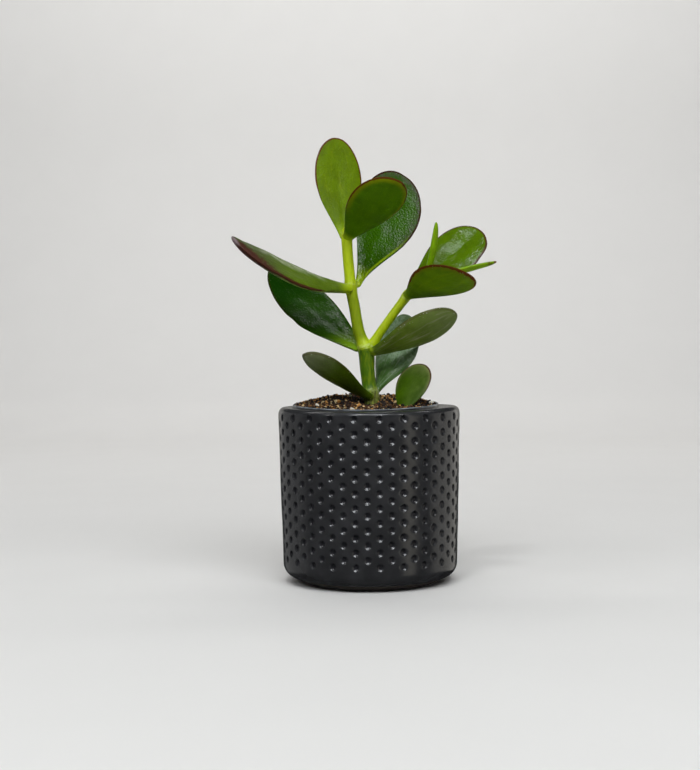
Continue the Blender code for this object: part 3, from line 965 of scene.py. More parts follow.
    def add_pit(self, draft: Draft, known: dict[tuple[int, int], int], column: int, row: int) -> None:
        """Adds one dimple and the diamond of wall round it.

        Args:
            draft: the mesh being made.
            known: indices of the border points added so far, by column and row.
            column: the dimple's column.
            row: its row.
        """
        angle, z, steps = self.column_angle(column), self.row_z(row), self.steps
        radius = float(self.wall_radius(z))
        border = [
            (steps * (column + c) + i * right, steps * (row + r) + i * down)
            for c, r, right, down in self.DIAMOND for i in range(steps)
        ]
        rim = [self.add_wall_point(draft, known, *key) for key in border]
        border_x = np.array([(self.column_angle(c / steps) - angle) * radius for c, _ in border])
        border_z = np.array([self.row_z(r / steps) - z for _, r in border])
        turns = math.pi / 2 - ring_turns(len(border))
        across, upward = np.cos(turns), np.sin(turns)
        middle = draft.add(self.wall(angle, z + self.pit_shift, self.pit_depth), pit=1.0, rim=0.0)
        rings = []
        for share in self.PIT_SHARES:
            reach, lift = share * self.pit_radius, self.pit_shift * max(0.0, 1 - share)
            rings.append((reach * across, reach * upward + lift, self.pit_profile(share)))
        reach = self.PIT_SHARES[-1] * self.pit_radius
        for share in self.SPREAD_SHARES:
            x = reach * across * (1 - share) + border_x * share
            rings.append((x, reach * upward * (1 - share) + border_z * share, 0.0))
        for x, y, depth in rings:
            ring = self.wall(angle + x / radius, z + y, depth)
            start = draft.add(ring, pit=depth / self.pit_depth, rim=0.0)
        count = len(turns)
        draft.fan(middle + 1, count, middle)
        draft.lathe(len(rings), count, middle + 1)
        draft.stitch(range(start, start + count), rim)

    def pit_profile(self, share: float) -> float:
        """Depth of a dimple at a share of the way from its middle to its rim: a bowl with a soft edge."""
        bowl = 1 - min(1.0, share / self.pit_reach) ** self.pit_power
        return self.pit_depth * bowl * float(1 - self.pit_softness * ease(share, *self.pit_edge))

    def add_turned(self, draft: Draft, radius: float, z: float, shift: float) -> Sequence[int]:
        """Adds one turned ring of points in line with the dimple columns.

        Args:
            draft: the mesh being made.
            radius: the ring's radius.
            z: its height where the rim is level.
            shift: how far its middle lies from the pot's axis.

        Returns:
            The indices of its points.
        """
        angle = self.ring_angles()
        reach = radius
        if z > self.top_z:
            reach = radius - self.rim_unevenness * (1 + self.uneven.at(ring_points(angle, radius, z)))
        rise = self.back_rise * self.lip_share(radius, z) * np.maximum(0.0, np.sin(angle))
        ring = ring_points(angle, reach, z - self.drop(angle, z) + rise, shift)
        pale = np.interp(radius, self.LIP_PALE, (0.0, 1.0, 1.0, 0.0)) * (z > self.lip_foot_z + self.pale_rise)
        first = draft.add(ring, pit=0.0, rim=float(pale))
        return range(first, first + len(ring))

    def add_wall_ring(self, draft: Draft, z: float) -> Sequence[int]:
        """Adds one ring of points on the outside of the pot.

        Args:
            draft: the mesh being made.
            z: its height.

        Returns:
            The indices of its points.
        """
        ring = self.wall(self.ring_angles(), z)
        first = draft.add(ring, pit=0.0, rim=0.0)
        return range(first, first + len(ring))

    def build(self) -> Piece:
        """Makes the pot's mesh.

        Returns:
            The pot.
        """
        draft = Draft()
        upper, lower = self.add_dimples(draft)
        rings = [upper, *(self.add_wall_ring(draft, z) for z in self.RIM_HEIGHTS)]
        for radius, z in self.RIM_TURNED:
            shift = float(np.interp(radius, self.SHIFT_RADII, self.SHIFT_SHARES))
            rings.append(self.add_turned(draft, radius, z, shift * self.lip_offset))
        draft.join_rings(rings)
        inside = draft.add((self.floor_shift * self.lip_offset, 0.0, self.floor_z), pit=0.0, rim=0.0)
        draft.fan(rings[-1][0], len(upper), inside)
        rings = [lower, *(self.add_wall_ring(draft, z) for z in self.LOW_HEIGHTS)]
        rings += [self.add_turned(draft, radius, z, 0.0) for radius, z in self.FOOT_TURNED]
        draft.join_rings(rings)
        draft.fan(rings[-1][0], len(lower), draft.add((0.0, 0.0, 0.0), pit=0.0, rim=0.0))
        return draft.finish("pot_glazed")

    def dress(self) -> list[Piece]:
        """Builds the pot, glazes it and sets it in place."""
        return [present(self.build(), self.finish.material(), "pot", "pot")]


# Potting mix


@dataclass
class PottingMix:
    """Mounded potting mix with loose crumbs and a few white grains on top."""

    below_lip: float = 0.6
    mound: float = 4.6
    mound_power: float = 2.2
    front_share: float = 0.2
    slope_y: Band = (-17.0, 1.0)
    hollow: float = 2.6
    hollow_at: Band = (1.5, -3.0)
    hollow_reach: float = 5.5
    wave_fade: float = 4.0
    wave_least: float = 0.35
    sectors: int = 220
    rings: int = 64
    ring_power: float = 0.9
    edge_gap: float = 0.12
    calm_reach: float = 1.2
    lump_height: float = 0.34
    lump_sink: float = 0.25
    plain_tone: float = 0.3
    low_tone: float = 0.20
    lump_tone: float = 0.15
    crumb_count: int = 4300
    crumb_seed: int = 12
    crumb_log_size: Band = (-0.74, 0.36)
    crumb_limits: Band = (0.28, 1.15)
    crumb_gap: float = 0.25
    crumb_lift: Band = (-0.35, 0.75)
    crumb_slim: Band = (0.45, 0.95)
    crumb_sink: float = 0.1
    coarse_from: float = 0.95
    white_seed: int = 77
    white_lift: float = 0.35
    white_tone: float = 0.5
    white_slim: float = 0.8
    pot: Pot = field(default_factory=Pot)
    surface: Crumbs = field(default_factory=lambda: Crumbs("potting_mix"))
    loose: Crumbs = field(default_factory=lambda: Crumbs("loose_crumbs"))
    white: Perlite = field(default_factory=Perlite)
    relief: Ripple = field(default_factory=lambda: Ripple(31, 5.0, 1.1, 26))

    # Waves of the surface: turns along X and along Y, phase and height.
    WAVES: ClassVar[tuple[Control, ...]] = (
        (1.31, 1.17, 0.3, 0.125),
        (1.31, -1.17, 1.1, 0.125),
        (0.83, -1.52, 0.0, 0.2),
        (2.63, 1.9, 0.0, 0.15),
        (-2.4, 2.21, 2.67, 0.125),
    )
    # Radius, height and share of the lip's offset of the rings below the surface.
    PLUG: ClassVar[tuple[Point, ...]] = ((27.3, 6.9, 0.5), (29.4, 11.0, 0.5), (31.1, 68.0, 1.0))
    # Place and size of each white grain.
    WHITE_GRAINS: ClassVar[tuple[Point, ...]] = (
        (-22.4, -13.5, 1.25), (-8.2, -2.0, 0.9), (-7.0, -25.5, 1.1), (27.4, -4.6, 1.5), (-24.6, -4.0, 0.7),
        (12.6, 10.5, 1.2), (-12.0, 14.0, 1.0), (3.5, 19.0, 1.3), (-20.0, 9.0, 0.9), (21.0, 13.0, 1.0),
        (-3.0, 26.0, 1.1), (10.0, 24.5, 0.8), (-16.0, 20.5, 1.2), (18.0, 4.0, 0.8), (-26.5, 3.0, 0.8),
    )
    # Place and reach of what grows out of the mix.
    CLEAR: ClassVar[tuple[Point, ...]] = ((1.1, -0.1, 4.2), (14.7, -13.0, 3.2))
    DENTS: ClassVar[int] = 5
    DENT_REACH: ClassVar[Band] = (0.45, 0.85)
    JITTER: ClassVar[Band] = (0.88, 1.12)
    FLATNESS: ClassVar[Band] = (0.55, 0.9)
    TURN: ClassVar[float] = 6.283
    TILT: ClassVar[float] = 0.5

    def height(self, x: Array | float, y: Array | float) -> Array:
        """Height of the mix: a mound that slopes to the front, with a hollow round the stem.

        Args:
            x: where, along X.
            y: where, along Y.

        Returns:
            The height.
        """
        x, y = np.asarray(x, float) - self.pot.lip_offset, np.asarray(y, float)
        share = np.clip(np.hypot(x, y) / self.pot.lip_radius, 0.0, 1.0)
        edge = self.pot.lip_z - self.pot.drop(np.arctan2(y, x), self.pot.lip_z) - self.below_lip
        rise = self.mound * (self.front_share + (1 - self.front_share) * ease(y, *self.slope_y))
        apart = np.hypot(x + self.pot.lip_offset - self.hollow_at[0], y - self.hollow_at[1])
        hollow = self.hollow * np.exp(-0.5 * (apart / self.hollow_reach) ** 2)
        waves = sum(high * np.sin(a * x + b * y + phase) for a, b, phase, high in self.WAVES)
        waves = waves * np.minimum(1.0, self.wave_fade * (1 - share) + self.wave_least)
        return edge + rise * (1 - share ** self.mound_power) - hollow + waves

    def build_surface(self) -> Piece:
        """Makes the body of the mix with its crumbly top.

        Returns:
            The potting mix.
        """
        draft = Draft()
        angle = ring_turns(self.sectors)
        for radius, z, shift in self.PLUG:
            draft.add(ring_points(angle, radius, z, shift * self.pot.lip_offset), tone=self.plain_tone)
        reach = self.pot.lip_radius - self.edge_gap
        for k in range(self.rings):
            radius = reach * (1 - k / self.rings) ** self.ring_power
            ring = ring_points(angle, radius, 0.0, self.pot.lip_offset)
            ring[:, 2] = self.height(ring[:, 0], ring[:, 1])
            lump = self.relief.at(ring)
            calm = ease(reach - radius, 0.0, self.calm_reach)
            ring[:, 2] += (self.lump_height * lump - self.lump_sink) * calm
            draft.add(ring, tone=self.low_tone + self.lump_tone * lump)
        rings = len(self.PLUG) + self.rings
        draft.lathe(rings, self.sectors)
        _, low_z, low_shift = self.PLUG[0]
        low = draft.add((low_shift * self.pot.lip_offset, 0.0, low_z), tone=self.plain_tone)
        draft.fan(0, self.sectors, low)
        peak = float(self.height(self.pot.lip_offset, 0.0))
        top = draft.add((self.pot.lip_offset, 0.0, peak), tone=self.plain_tone)
        draft.fan((rings - 1) * self.sectors, self.sectors, top)
        return draft.finish("soil_mound")

    @staticmethod
    def ball(rounds: int) -> Shell:
        """Makes a round ball of triangles, to be broken into a crumb.

        Args:
            rounds: how often its faces are split.

        Returns:
            Its points and its faces.
        """
        work = bmesh.new()
        bmesh.ops.create_icosphere(work, subdivisions=rounds, radius=1.0)
        points = np.array([v.co[:] for v in work.verts])
        faces = [tuple(v.index for v in f.verts) for f in work.faces]
        work.free()
        return points, faces

    def add_bit(
        self, draft: Draft, shape: Shell, place: Point, size: float, draw: np.random.Generator, tone: float,
        slim: float,
    ) -> None:
        """Adds one broken bit.

        Args:
            draft: the mesh being made.
            shape: points and faces of a ball.
            place: where its middle lies.
            size: half its length.
            draw: source of its random shape.
            tone: its tone, from 0 for the darkest to 1.
            slim: width as a share of its length.
        """
        points, faces = shape
        dents = draw.normal(size=(self.DENTS, 3))
        dents /= np.linalg.norm(dents, axis=1, keepdims=True)
        bent = points * draw.uniform(*self.JITTER, (len(points), 1))
        for aim in dents:
            over = np.maximum(0.0, bent @ aim - draw.uniform(*self.DENT_REACH))
            bent = bent - over[:, None] * aim
        bent = bent * np.array([1.0, slim, slim * draw.uniform(*self.FLATNESS)]) * size
        spin = Matrix.Rotation(draw.uniform(0, self.TURN), 3, "Z")
        spin = spin @ Matrix.Rotation(draw.normal(0, self.TILT), 3, "Y")
        spin = spin @ Matrix.Rotation(draw.normal(0, self.TILT), 3, "X")
        first = draft.add(bent @ np.array(spin).T + np.array(place), tone=tone)
        draft.faces.extend(tuple(first + i for i in face) for face in faces)

    def is_free(self, x: float, y: float) -> bool:
        """Whether a place is clear of what grows out of the mix."""
        return all(math.hypot(x - at_x, y - at_y) > reach for at_x, at_y, reach in self.CLEAR)

    def build_crumbs(self) -> Piece:
        """Makes the loose crumbs that lie on the mix.

        Returns:
            One piece that holds them all.
        """
        draft, draw = Draft(), np.random.default_rng(self.crumb_seed)
        coarse, plain = self.ball(2), self.ball(1)
        for _ in range(self.crumb_count):
            angle, share = draw.uniform(0, 2 * math.pi), math.sqrt(draw.uniform(0, 1))
            size = float(np.clip(draw.lognormal(*self.crumb_log_size), *self.crumb_limits))
            radius = share * (self.pot.lip_radius - self.crumb_gap - size)
            x, y = radius * math.cos(angle) + self.pot.lip_offset, radius * math.sin(angle)
            lift = draw.uniform(*self.crumb_lift)
            tone = float(draw.uniform(0.0, 1.0))
            slim = draw.uniform(*self.crumb_slim)
            if self.is_free(x, y):
                z = float(self.height(x, y)) - self.crumb_sink + lift * size
                shape = coarse if size > self.coarse_from else plain
                self.add_bit(draft, shape, (x, y, z), size, draw, tone, slim)
        return draft.finish("soil_crumbs", smooth=False)

    def build_white_grains(self) -> Piece:
        """Makes the white grains that lie on the mix.

        Returns:
            One piece that holds them all.
        """
        draft, draw, shape = Draft(), np.random.default_rng(self.white_seed), self.ball(2)
        for x, y, size in self.WHITE_GRAINS:
            z = float(self.height(x, y)) + self.white_lift * size
            self.add_bit(draft, shape, (x, y, z), size, draw, self.white_tone, self.white_slim)
        return draft.finish("soil_perlite")

    def dress(self) -> list[Piece]:
        """Builds the mix and its loose bits, colours them and sets them in place.

        Returns:
            The finished pieces.
        """
        return [
            present(self.build_surface(), self.surface.material(), "soil", "soil"),
            present(self.build_crumbs(), self.loose.material(), "soil"),
            present(self.build_white_grains(), self.white.material(), "soil"),
        ]


# Stem


@dataclass
class Joint:
    """A place where a pair of leaves springs: a slight swelling with a pale scar round it."""

    along: float
    swell: float
    scar: float
    reach: float = 1.6


@dataclass
class Stem:
    """Main stem with its side branch, grown together."""

    # Place and radius of each control point, from the foot up.
    main: tuple[Control, ...] = (
        (1.2, 0.2, 48.0, 2.6), (1.2, 0.1, 62.0, 3.0), (1.15, 0.0, 74.0, 3.4), (1.05, -0.1, 79.5, 3.6),
        (0.6, -0.1, 82.9, 3.6), (0.1, 0.0, 86.2, 3.15), (-0.5, 0.1, 92.4, 3.3), (-0.7, 0.1, 98.0, 3.5),
        (-1.2, 0.0, 101.8, 3.55), (-2.8, 0.0, 105.7, 2.75), (-4.3, 0.1, 110.3, 2.6), (-5.7, 0.1, 119.0, 2.5),
        (-6.9, 0.0, 125.6, 2.5), (-7.4, 0.0, 129.2, 2.75), (-7.8, 0.0, 133.0, 2.45), (-8.3, 0.0, 138.0, 2.4),
        (-8.8, 0.0, 145.4, 2.4), (-9.0, 0.0, 150.2, 2.5), (-9.1, 0.0, 152.6, 2.3), (-9.2, 0.0, 154.6, 1.5),
        (-9.25, 0.0, 156.2, 0.5),
    )
    branch: tuple[Control, ...] = (
        (-0.9, 0.3, 100.6, 1.9), (1.6, 0.7, 103.4, 2.3), (4.0, 0.8, 106.9, 2.05), (7.0, 0.8, 111.3, 1.95),
        (12.4, 0.8, 118.5, 1.95), (15.9, 0.8, 123.1, 2.05), (17.7, 0.8, 125.6, 2.3), (19.6, 0.9, 127.6, 1.8),
        (22.0, 1.1, 129.9, 1.6), (24.7, 1.5, 132.5, 1.75), (25.9, 1.6, 133.8, 1.5), (26.9, 1.6, 135.0, 0.5),
    )
    main_joints: tuple[Joint, ...] = (
        Joint(83.2, 0.10, 0.4), Joint(102.2, 0.12, 0.7), Joint(129.4, 0.10, 0.2), Joint(151.2, 0.06, 0.2),
    )
    branch_joints: tuple[Joint, ...] = (Joint(125.4, 0.08, 0.4), Joint(132.6, 0.05, 0.3))
    leaves: tuple["Leaf", ...] = ()
    path_steps: int = 6
    sides: int = 28
    tip_rise: float = 0.15
    voxel: float = 0.26
    smoothing: float = 0.5
    smoothing_rounds: int = 6
    shoot_span: Band = (-0.3, 0.9)
    ring_slope: float = 0.10
    ring_sway: float = 0.25
    sway_turns: Band = (1.9, 1.3)
    scar_width: float = 0.35
    scar_rise: float = 0.08
    grain_rise: float = 0.05
    grain_stretch: Point = (1.0, 1.0, 0.35)
    foot_span: Band = (80.0, 86.0)
    foot_rise: float = 0.16
    foot_grain: float = 2.1
    finish: StemSkin = field(default_factory=StemSkin)
    grain: Ripple = field(default_factory=lambda: Ripple(8, 6.0, 1.2, 14))

    def smooth_path(self, line: tuple[Control, ...]) -> Array:
        """Draws a smooth curve through control points, with the radius eased the same way.

        Args:
            line: the control points.

        Returns:
            Rows of x, y, z and radius.
        """
        points = np.array(line, float)
        padded = np.vstack([2 * points[0] - points[1], points, 2 * points[-1] - points[-2]])
        t = (np.arange(self.path_steps) / self.path_steps)[:, None]
        parts = []
        for k in range(len(points) - 1):
            before, start, end, after = padded[k:k + 4]
            parts.append(0.5 * (
                2 * start + (end - before) * t
                + (2 * before - 5 * start + 4 * end - after) * t ** 2
                + (3 * start - before - 3 * end + after) * t ** 3
            ))
        return np.vstack([*parts, points[-1:]])

    def add_tube(self, draft: Draft, path: Array) -> None:
        """Adds a closed tube.

        Args:
            draft: the mesh being made.
            path: rows of x, y, z and radius along the middle of the tube.
        """
        across = np.array((0.0, 1.0, 0.0))
        turns = ring_turns(self.sides)[:, None]
        first = draft.count
        for k, row in enumerate(path):
            ahead = path[min(k + 1, len(path) - 1)][:3] - path[max(k - 1, 0)][:3]
            ahead = ahead / np.linalg.norm(ahead)
            across = across - ahead * np.dot(across, ahead)
            across = across / np.linalg.norm(across)
            other = np.cross(ahead, across)
            draft.add(row[:3] + row[3] * (np.cos(turns) * across + np.sin(turns) * other))
        draft.lathe(len(path), self.sides, first)
        draft.fan(first, self.sides, draft.add(path[0][:3]))
        tip = draft.add(path[-1][:3] + (0.0, 0.0, self.tip_rise))
        draft.fan(first + (len(path) - 1) * self.sides, self.sides, tip)

    def build(self) -> Piece:
        """Makes the stem: two tubes and the collars of its leaves, grown into one skin and eased.

        Returns:
            The stem.
        """
        paths = [self.smooth_path(self.main), self.smooth_path(self.branch)]
        draft = Draft()
        for path in (*paths, *(leaf.collar() for leaf in self.leaves if leaf.heart is not None)):
            self.add_tube(draft, path)
        piece = draft.finish("stem_grown")
        grown = piece.modifiers.new("skin", "REMESH")
        grown.mode = "VOXEL"
        grown.voxel_size = self.voxel * MM
        eased = piece.modifiers.new("ease", "SMOOTH")
        eased.factor = self.smoothing
        eased.iterations = self.smoothing_rounds
        bpy.context.view_layer.update()
        graph = bpy.context.evaluated_depsgraph_get()
        skin = bpy.data.meshes.new_from_object(piece.evaluated_get(graph))
        piece.modifiers.clear()
        piece.data = skin
        skin.polygons.foreach_set("use_smooth", [True] * len(skin.polygons))
        self.texture(skin, paths)
        return piece

    def texture(self, skin: bpy.types.Mesh, paths: list[Array]) -> None:
        """Raises the swellings and scars on the skin, and stores what its material reads.

        Args:
            skin: the skin's mesh.
            paths: middle lines of the main stem and of the branch, as rows of x, y, z and radius.
        """
        points, normals = point_rows(skin, "co") / MM, point_rows(skin, "normal")
        gaps, nearest = [], []
        for path in paths:
            apart = np.linalg.norm(points[:, None, :] - path[None, :, :3], axis=2) - path[None, :, 3]
            nearest.append(np.argmin(apart, axis=1))
            gaps.append(np.min(apart, axis=1))
        shoot = ease(gaps[0] - gaps[1], *self.shoot_span)
        along = np.where(shoot > 0.5, paths[1][nearest[1], 2], paths[0][nearest[0], 2])
        raised, scar = np.zeros(len(points)), np.zeros(len(points))
        sway = points[:, 0] * self.sway_turns[0] + points[:, 1] * self.sway_turns[1]
        for joints, part in ((self.main_joints, 1 - shoot), (self.branch_joints, shoot)):
            for joint in joints:
                tilt = points[:, 0] * self.ring_slope + self.ring_sway * np.sin(sway + joint.along)
                apart = along + tilt - joint.along
                line = np.exp(-(apart / self.scar_width) ** 2)
                raised += part * joint.swell * np.exp(-(apart / joint.reach) ** 2)
                raised += part * self.scar_rise * joint.scar * line
                scar += part * joint.scar * line
        raised += self.grain_rise * self.grain.at(points * np.array(self.grain_stretch))
        foot = 1 - ease(points[:, 2], *self.foot_span)
        raised += foot * self.foot_rise * self.grain.at(points * self.foot_grain)
        points += normals * raised[:, None]
        skin.vertices.foreach_set("co", (points * MM).astype(np.float32).ravel())
        skin.update()
        write_reading(skin, Reading.HEIGHT, along)
        write_reading(skin, Reading.SIDE_SHOOT, shoot)
        write_reading(skin, Reading.TONE, np.clip(scar, 0.0, 1.0))

    def dress(self) -> list[Piece]:
        """Builds the stem, colours it and sets it in place.

        Returns:
            The finished piece, alone in a list.
        """
        piece = self.build()
        piece.data.materials.clear()
        return [present(piece, self.finish.material(), "stem", "stem")]


# Leaves


@dataclass
class Leaf:
    """One thick leaf: slender base, round end, arched midrib and rounded, flatter upper face."""

    name: str
    slot: str
    base: Point
    heading: float
    rise: float
    roll: float
    length: float
    width: float
    thick: float
    bend: float
    cup: float
    widest: float
    neck: float
    flare: float
    skin: LeafSkin
    seed: int = 1
    crease: float = 0.15
    uneven: float = 0.14
    ragged: float = 0.16
    fold: float = 0.0
    heart: Point | None = None
    tip_drop: float = 0.0
    margins: tuple[Control, ...] = ()

    STATIONS: ClassVar[int] = 92
    SIDES: ClassVar[int] = 64
    TAIL: ClassVar[float] = 2.6
    TAIL_SHARES: ClassVar[Row] = (0.99, 0.93, 0.82, 0.66, 0.46, 0.23)
    COLLAR: ClassVar[float] = 1.6
    COLLAR_STEPS: ClassVar[int] = 9
    COLLAR_GRIP: ClassVar[float] = 0.82
    COLLAR_LIP: ClassVar[float] = 1.02
    COLLAR_TAPER: ClassVar[float] = 0.35
    UPPER_SHARE: ClassVar[float] = 0.4
    EDGE_SHARE: ClassVar[float] = 0.9
    PLUMPEST: ClassVar[float] = 0.45
    PLUMP_BASE: ClassVar[float] = 0.75
    PLUMP_END: ClassVar[float] = 0.8
    KEEL: ClassVar[float] = 1.3
    FOLD_FROM: ClassVar[Band] = (0.05, 0.35)
    FOLD_ROUND: ClassVar[float] = 0.004
    DROP_FROM: ClassVar[Band] = (0.6, 1.0)
    CALM_BASE: ClassVar[Band] = (0.0, 0.2)
    CALM_TIP: ClassVar[Band] = (0.93, 1.0)
    CREASE_WIDTH: ClassVar[float] = 0.16
    CREASE_END: ClassVar[Band] = (0.5, 0.9)
    EDGE_LUMPS: ClassVar[float] = 0.35
    FRILL_SEED: ClassVar[int] = 50
    LUMP_WAVES: ClassVar[Band] = (26.0, 5.0)
    FRILL_WAVES: ClassVar[Band] = (22.0, 4.5)
    BUTT_EDGE: ClassVar[float] = 2.0

    def directions(self) -> tuple[Array, Array, Array]:
        """Finds how the leaf lies.

        Returns:
            Unit vectors along it, across it and out of its upper face.
        """
        heading, rise, roll = (math.radians(v) for v in (self.heading, self.rise, self.roll))
        level = math.cos(rise)
        along = np.array((level * math.cos(heading), level * math.sin(heading), math.sin(rise)))
        across = np.cross((0.0, 0.0, 1.0), along)
        across = across / np.linalg.norm(across)
        up = np.cross(along, across)
        cosine, sine = math.cos(roll), math.sin(roll)
        return along, across * cosine + up * sine, up * cosine - across * sine

    @staticmethod
    def outline(share: Array, widest: float, neck: float, flare: float) -> Array:
        """Shape of a side, 1 at its widest place.

        Args:
            share: share of the length from base to tip.
            widest: share of the length at which it is widest.
            neck: its width at the base, as a share of the widest.
            flare: how late it widens from the base.

        Returns:
            Its width there, as a share of the widest.
        """
        share = np.asarray(share, float)
        rising = neck + (1 - neck) * np.sin(math.pi / 2 * np.clip(share / widest, 0.0, 1.0)) ** flare
        past = np.clip((share - widest) / (1 - widest), 0.0, 1.0)
        return np.where(share < widest, rising, np.sqrt(1 - past * past))

    def half_width(self, share: Array) -> Array:
        """Half the leaf's width at a share of its length."""
        return self.width / 2 * self.outline(share, self.widest, self.neck, self.flare)

    def plumpness(self, share: Array) -> Array:
        """Half thickness at a share of the length, 1 at the plumpest place."""
        plump = self.outline(share, self.PLUMPEST, self.PLUMP_BASE, 1.0)
        return np.where(share > self.PLUMPEST, plump ** self.PLUMP_END, plump)

    def stations(self) -> Array:
        """Chooses where the leaf has a section, closer together towards the tip.

        Returns:
            Shares of its length, below 0 on the tail behind the base.
        """
        low = self.STATIONS // 2
        high = self.STATIONS - low
        tail = -self.TAIL / self.length * np.array(self.TAIL_SHARES)
        rising = self.widest * np.arange(low) / low
        turning = self.widest + (1 - self.widest) * np.sin(math.pi / 2 * np.arange(high) / (high - 1))
        return np.concatenate([tail, rising, turning[:-1]])

    def place(self, share: Array, side: Array, lens: Array) -> Array:
        """Points of the leaf's skin.

        Args:
            share: share of the length from base to tip.
            side: place across the leaf, from -1 to 1.
            lens: place through its thickness, from -1 on the underside to 1 on the upper face.

        Returns:
            The points, in millimetres.
        """
        along, across, up = self.directions()
        bend = math.radians(self.bend) or 1e-6
        turn = bend * np.maximum(0.0, share)
        tail = np.minimum(0.0, share)
        reach = self.length * (np.sin(turn) / bend + tail)
        lift = self.length * (1 - np.cos(turn)) / bend
        face = np.cos(turn)[..., None] * up - np.sin(turn)[..., None] * along
        half = self.half_width(share)
        body = np.minimum(self.thick / 2 * self.plumpness(share), self.EDGE_SHARE * half)
        through = np.where(lens > 0, 2 * self.UPPER_SHARE, 2 * (1 - self.UPPER_SHARE)) * lens
        sunk = (tail * self.length / self.TAIL) ** 2
        back = np.sqrt(np.clip(1 - sunk, 0.0, 1.0))
        half, body = half * back, body * back
        folded = self.fold * ease(share, *self.FOLD_FROM)
        valley = np.sqrt(side * side + self.FOLD_ROUND)
        out = body * through + half * ((self.cup - folded) * side * side + folded * valley)
        out = out - self.tip_drop * ease(share, *self.DROP_FROM)
        middle = np.array(self.base) + reach[..., None] * along + lift[..., None] * up
        if self.heart is not None:
            middle = middle + sunk[..., None] * self.sink(along)
        return middle + (half * side)[..., None] * across + out[..., None] * face

    def sink(self, along: Array) -> Array:
        """How far the end of the leaf's tail, straight behind its base, moves to reach the heart."""
        return np.array(self.heart) - np.array(self.base) + self.TAIL * along

    def collar(self) -> Array:
        """Draws the stem's collar round the base of this leaf.

        Returns:
            Rows of x, y, z and radius along its middle.
        """
        along, _, _ = self.directions()
        base, sink = np.array(self.base), self.sink(along)
        half = min(self.thick / 2 * self.PLUMP_BASE, self.EDGE_SHARE * self.width / 2 * self.neck)
        grip = self.COLLAR_GRIP * half
        rows = []
        for t in np.linspace(1.0, 0.0, self.COLLAR_STEPS):
            rows.append([*(base - self.TAIL * t * along + t * t * sink), grip])
        for t in np.linspace(0.0, 1.0, self.COLLAR_STEPS)[1:]:
            taper = self.COLLAR_LIP - self.COLLAR_TAPER * t * t
            rows.append([*(base + self.COLLAR * t * along), grip * taper])
        return np.array(rows)

    def edge_distance(self, share: Array, side: Array) -> Array:
        """Distance from places on the leaf to its margin.

        Args:
            share: share of the length from base to tip.
            side: place across the leaf, from -1 to 1.

        Returns:
            The distances, in millimetres.
        """
        samples = np.sort(np.concatenate([np.linspace(0, 1, 160), 1 - np.geomspace(0.001, 0.2, 60)]))
        x, y = share * self.length, np.abs(side) * self.half_width(share)
        away = x.ravel()[:, None] - samples * self.length, y.ravel()[:, None] - self.half_width(samples)
        return np.min(np.hypot(*away), axis=1).reshape(share.shape)

    def roughened(self, points: Array, share: Array, turn: Array) -> Array:
        """Adds the lumps, the crease along the middle and the wavy outline to the smooth skin.

        Args:
            points: a grid of the skin's points.
            share: share of the length from base to tip of each.
            turn: angle of each round its section.

        Returns:
            The grid of moved points.
        """
        _, across, up = self.directions()
        side, upper = np.cos(turn), np.maximum(0.0, np.sin(turn))
        calm = ease(share, *self.CALM_BASE) * (1 - ease(share, *self.CALM_TIP))
        lumps = Ripple(self.seed, *self.LUMP_WAVES).over(points)
        crease = self.crease * upper * np.exp(-(side / self.CREASE_WIDTH) ** 2)
        crease = crease * (1 - ease(share, *self.CREASE_END))
        rise = (self.uneven * lumps - crease) * calm
        inner = self.EDGE_LUMPS + (1 - self.EDGE_LUMPS) * (1 - side ** 2)
        points = points + (rise * inner)[..., None] * up
        frill = Ripple(self.seed + self.FRILL_SEED, *self.FRILL_WAVES).over(points)
        points = points - (self.ragged * (1 + frill) / 2 * calm * side ** 3)[..., None] * across
        for at, toward, push, spread in self.margins:
            weight = np.exp(-((share - at) / spread) ** 2) * np.maximum(0.0, side * toward) ** 2
            points = points + (push * toward * weight)[..., None] * across
        return points

    def build(self) -> Piece:
        """Makes the leaf's mesh, with the readings that its skin needs.

        Returns:
            The leaf.
        """
        shares = self.stations()
        share, turn = np.meshgrid(shares, ring_turns(self.SIDES), indexing="ij")
        side, face = np.cos(turn), np.sin(turn)
        points = self.place(share, side, np.sign(face) * np.abs(face) ** self.KEEL)
        points = self.roughened(points, share, turn)
        along = np.clip(share, 0, 1)
        edge = self.edge_distance(along, side)
        draft = Draft()
        draft.add(points, edge=edge.ravel(), along=along.ravel(), face=face.ravel(), across=side.ravel())
        draft.lathe(len(shares), self.SIDES)
        butt = draft.add(points[0].mean(axis=0), edge=self.BUTT_EDGE, along=0.0, face=0.0, across=0.0)
        draft.fan(0, self.SIDES, butt)
        tip = self.place(np.array([1.0]), np.array([0.0]), np.array([0.0]))
        end = draft.add(tip, edge=0.0, along=1.0, face=0.0, across=0.0)
        draft.fan((len(shares) - 1) * self.SIDES, self.SIDES, end)
        return draft.finish(self.name + "_skin")

    def dress(self) -> Piece:
        """Builds the leaf, colours it and sets it in place."""
        return present(self.build(), self.skin.material(), self.slot, self.name)
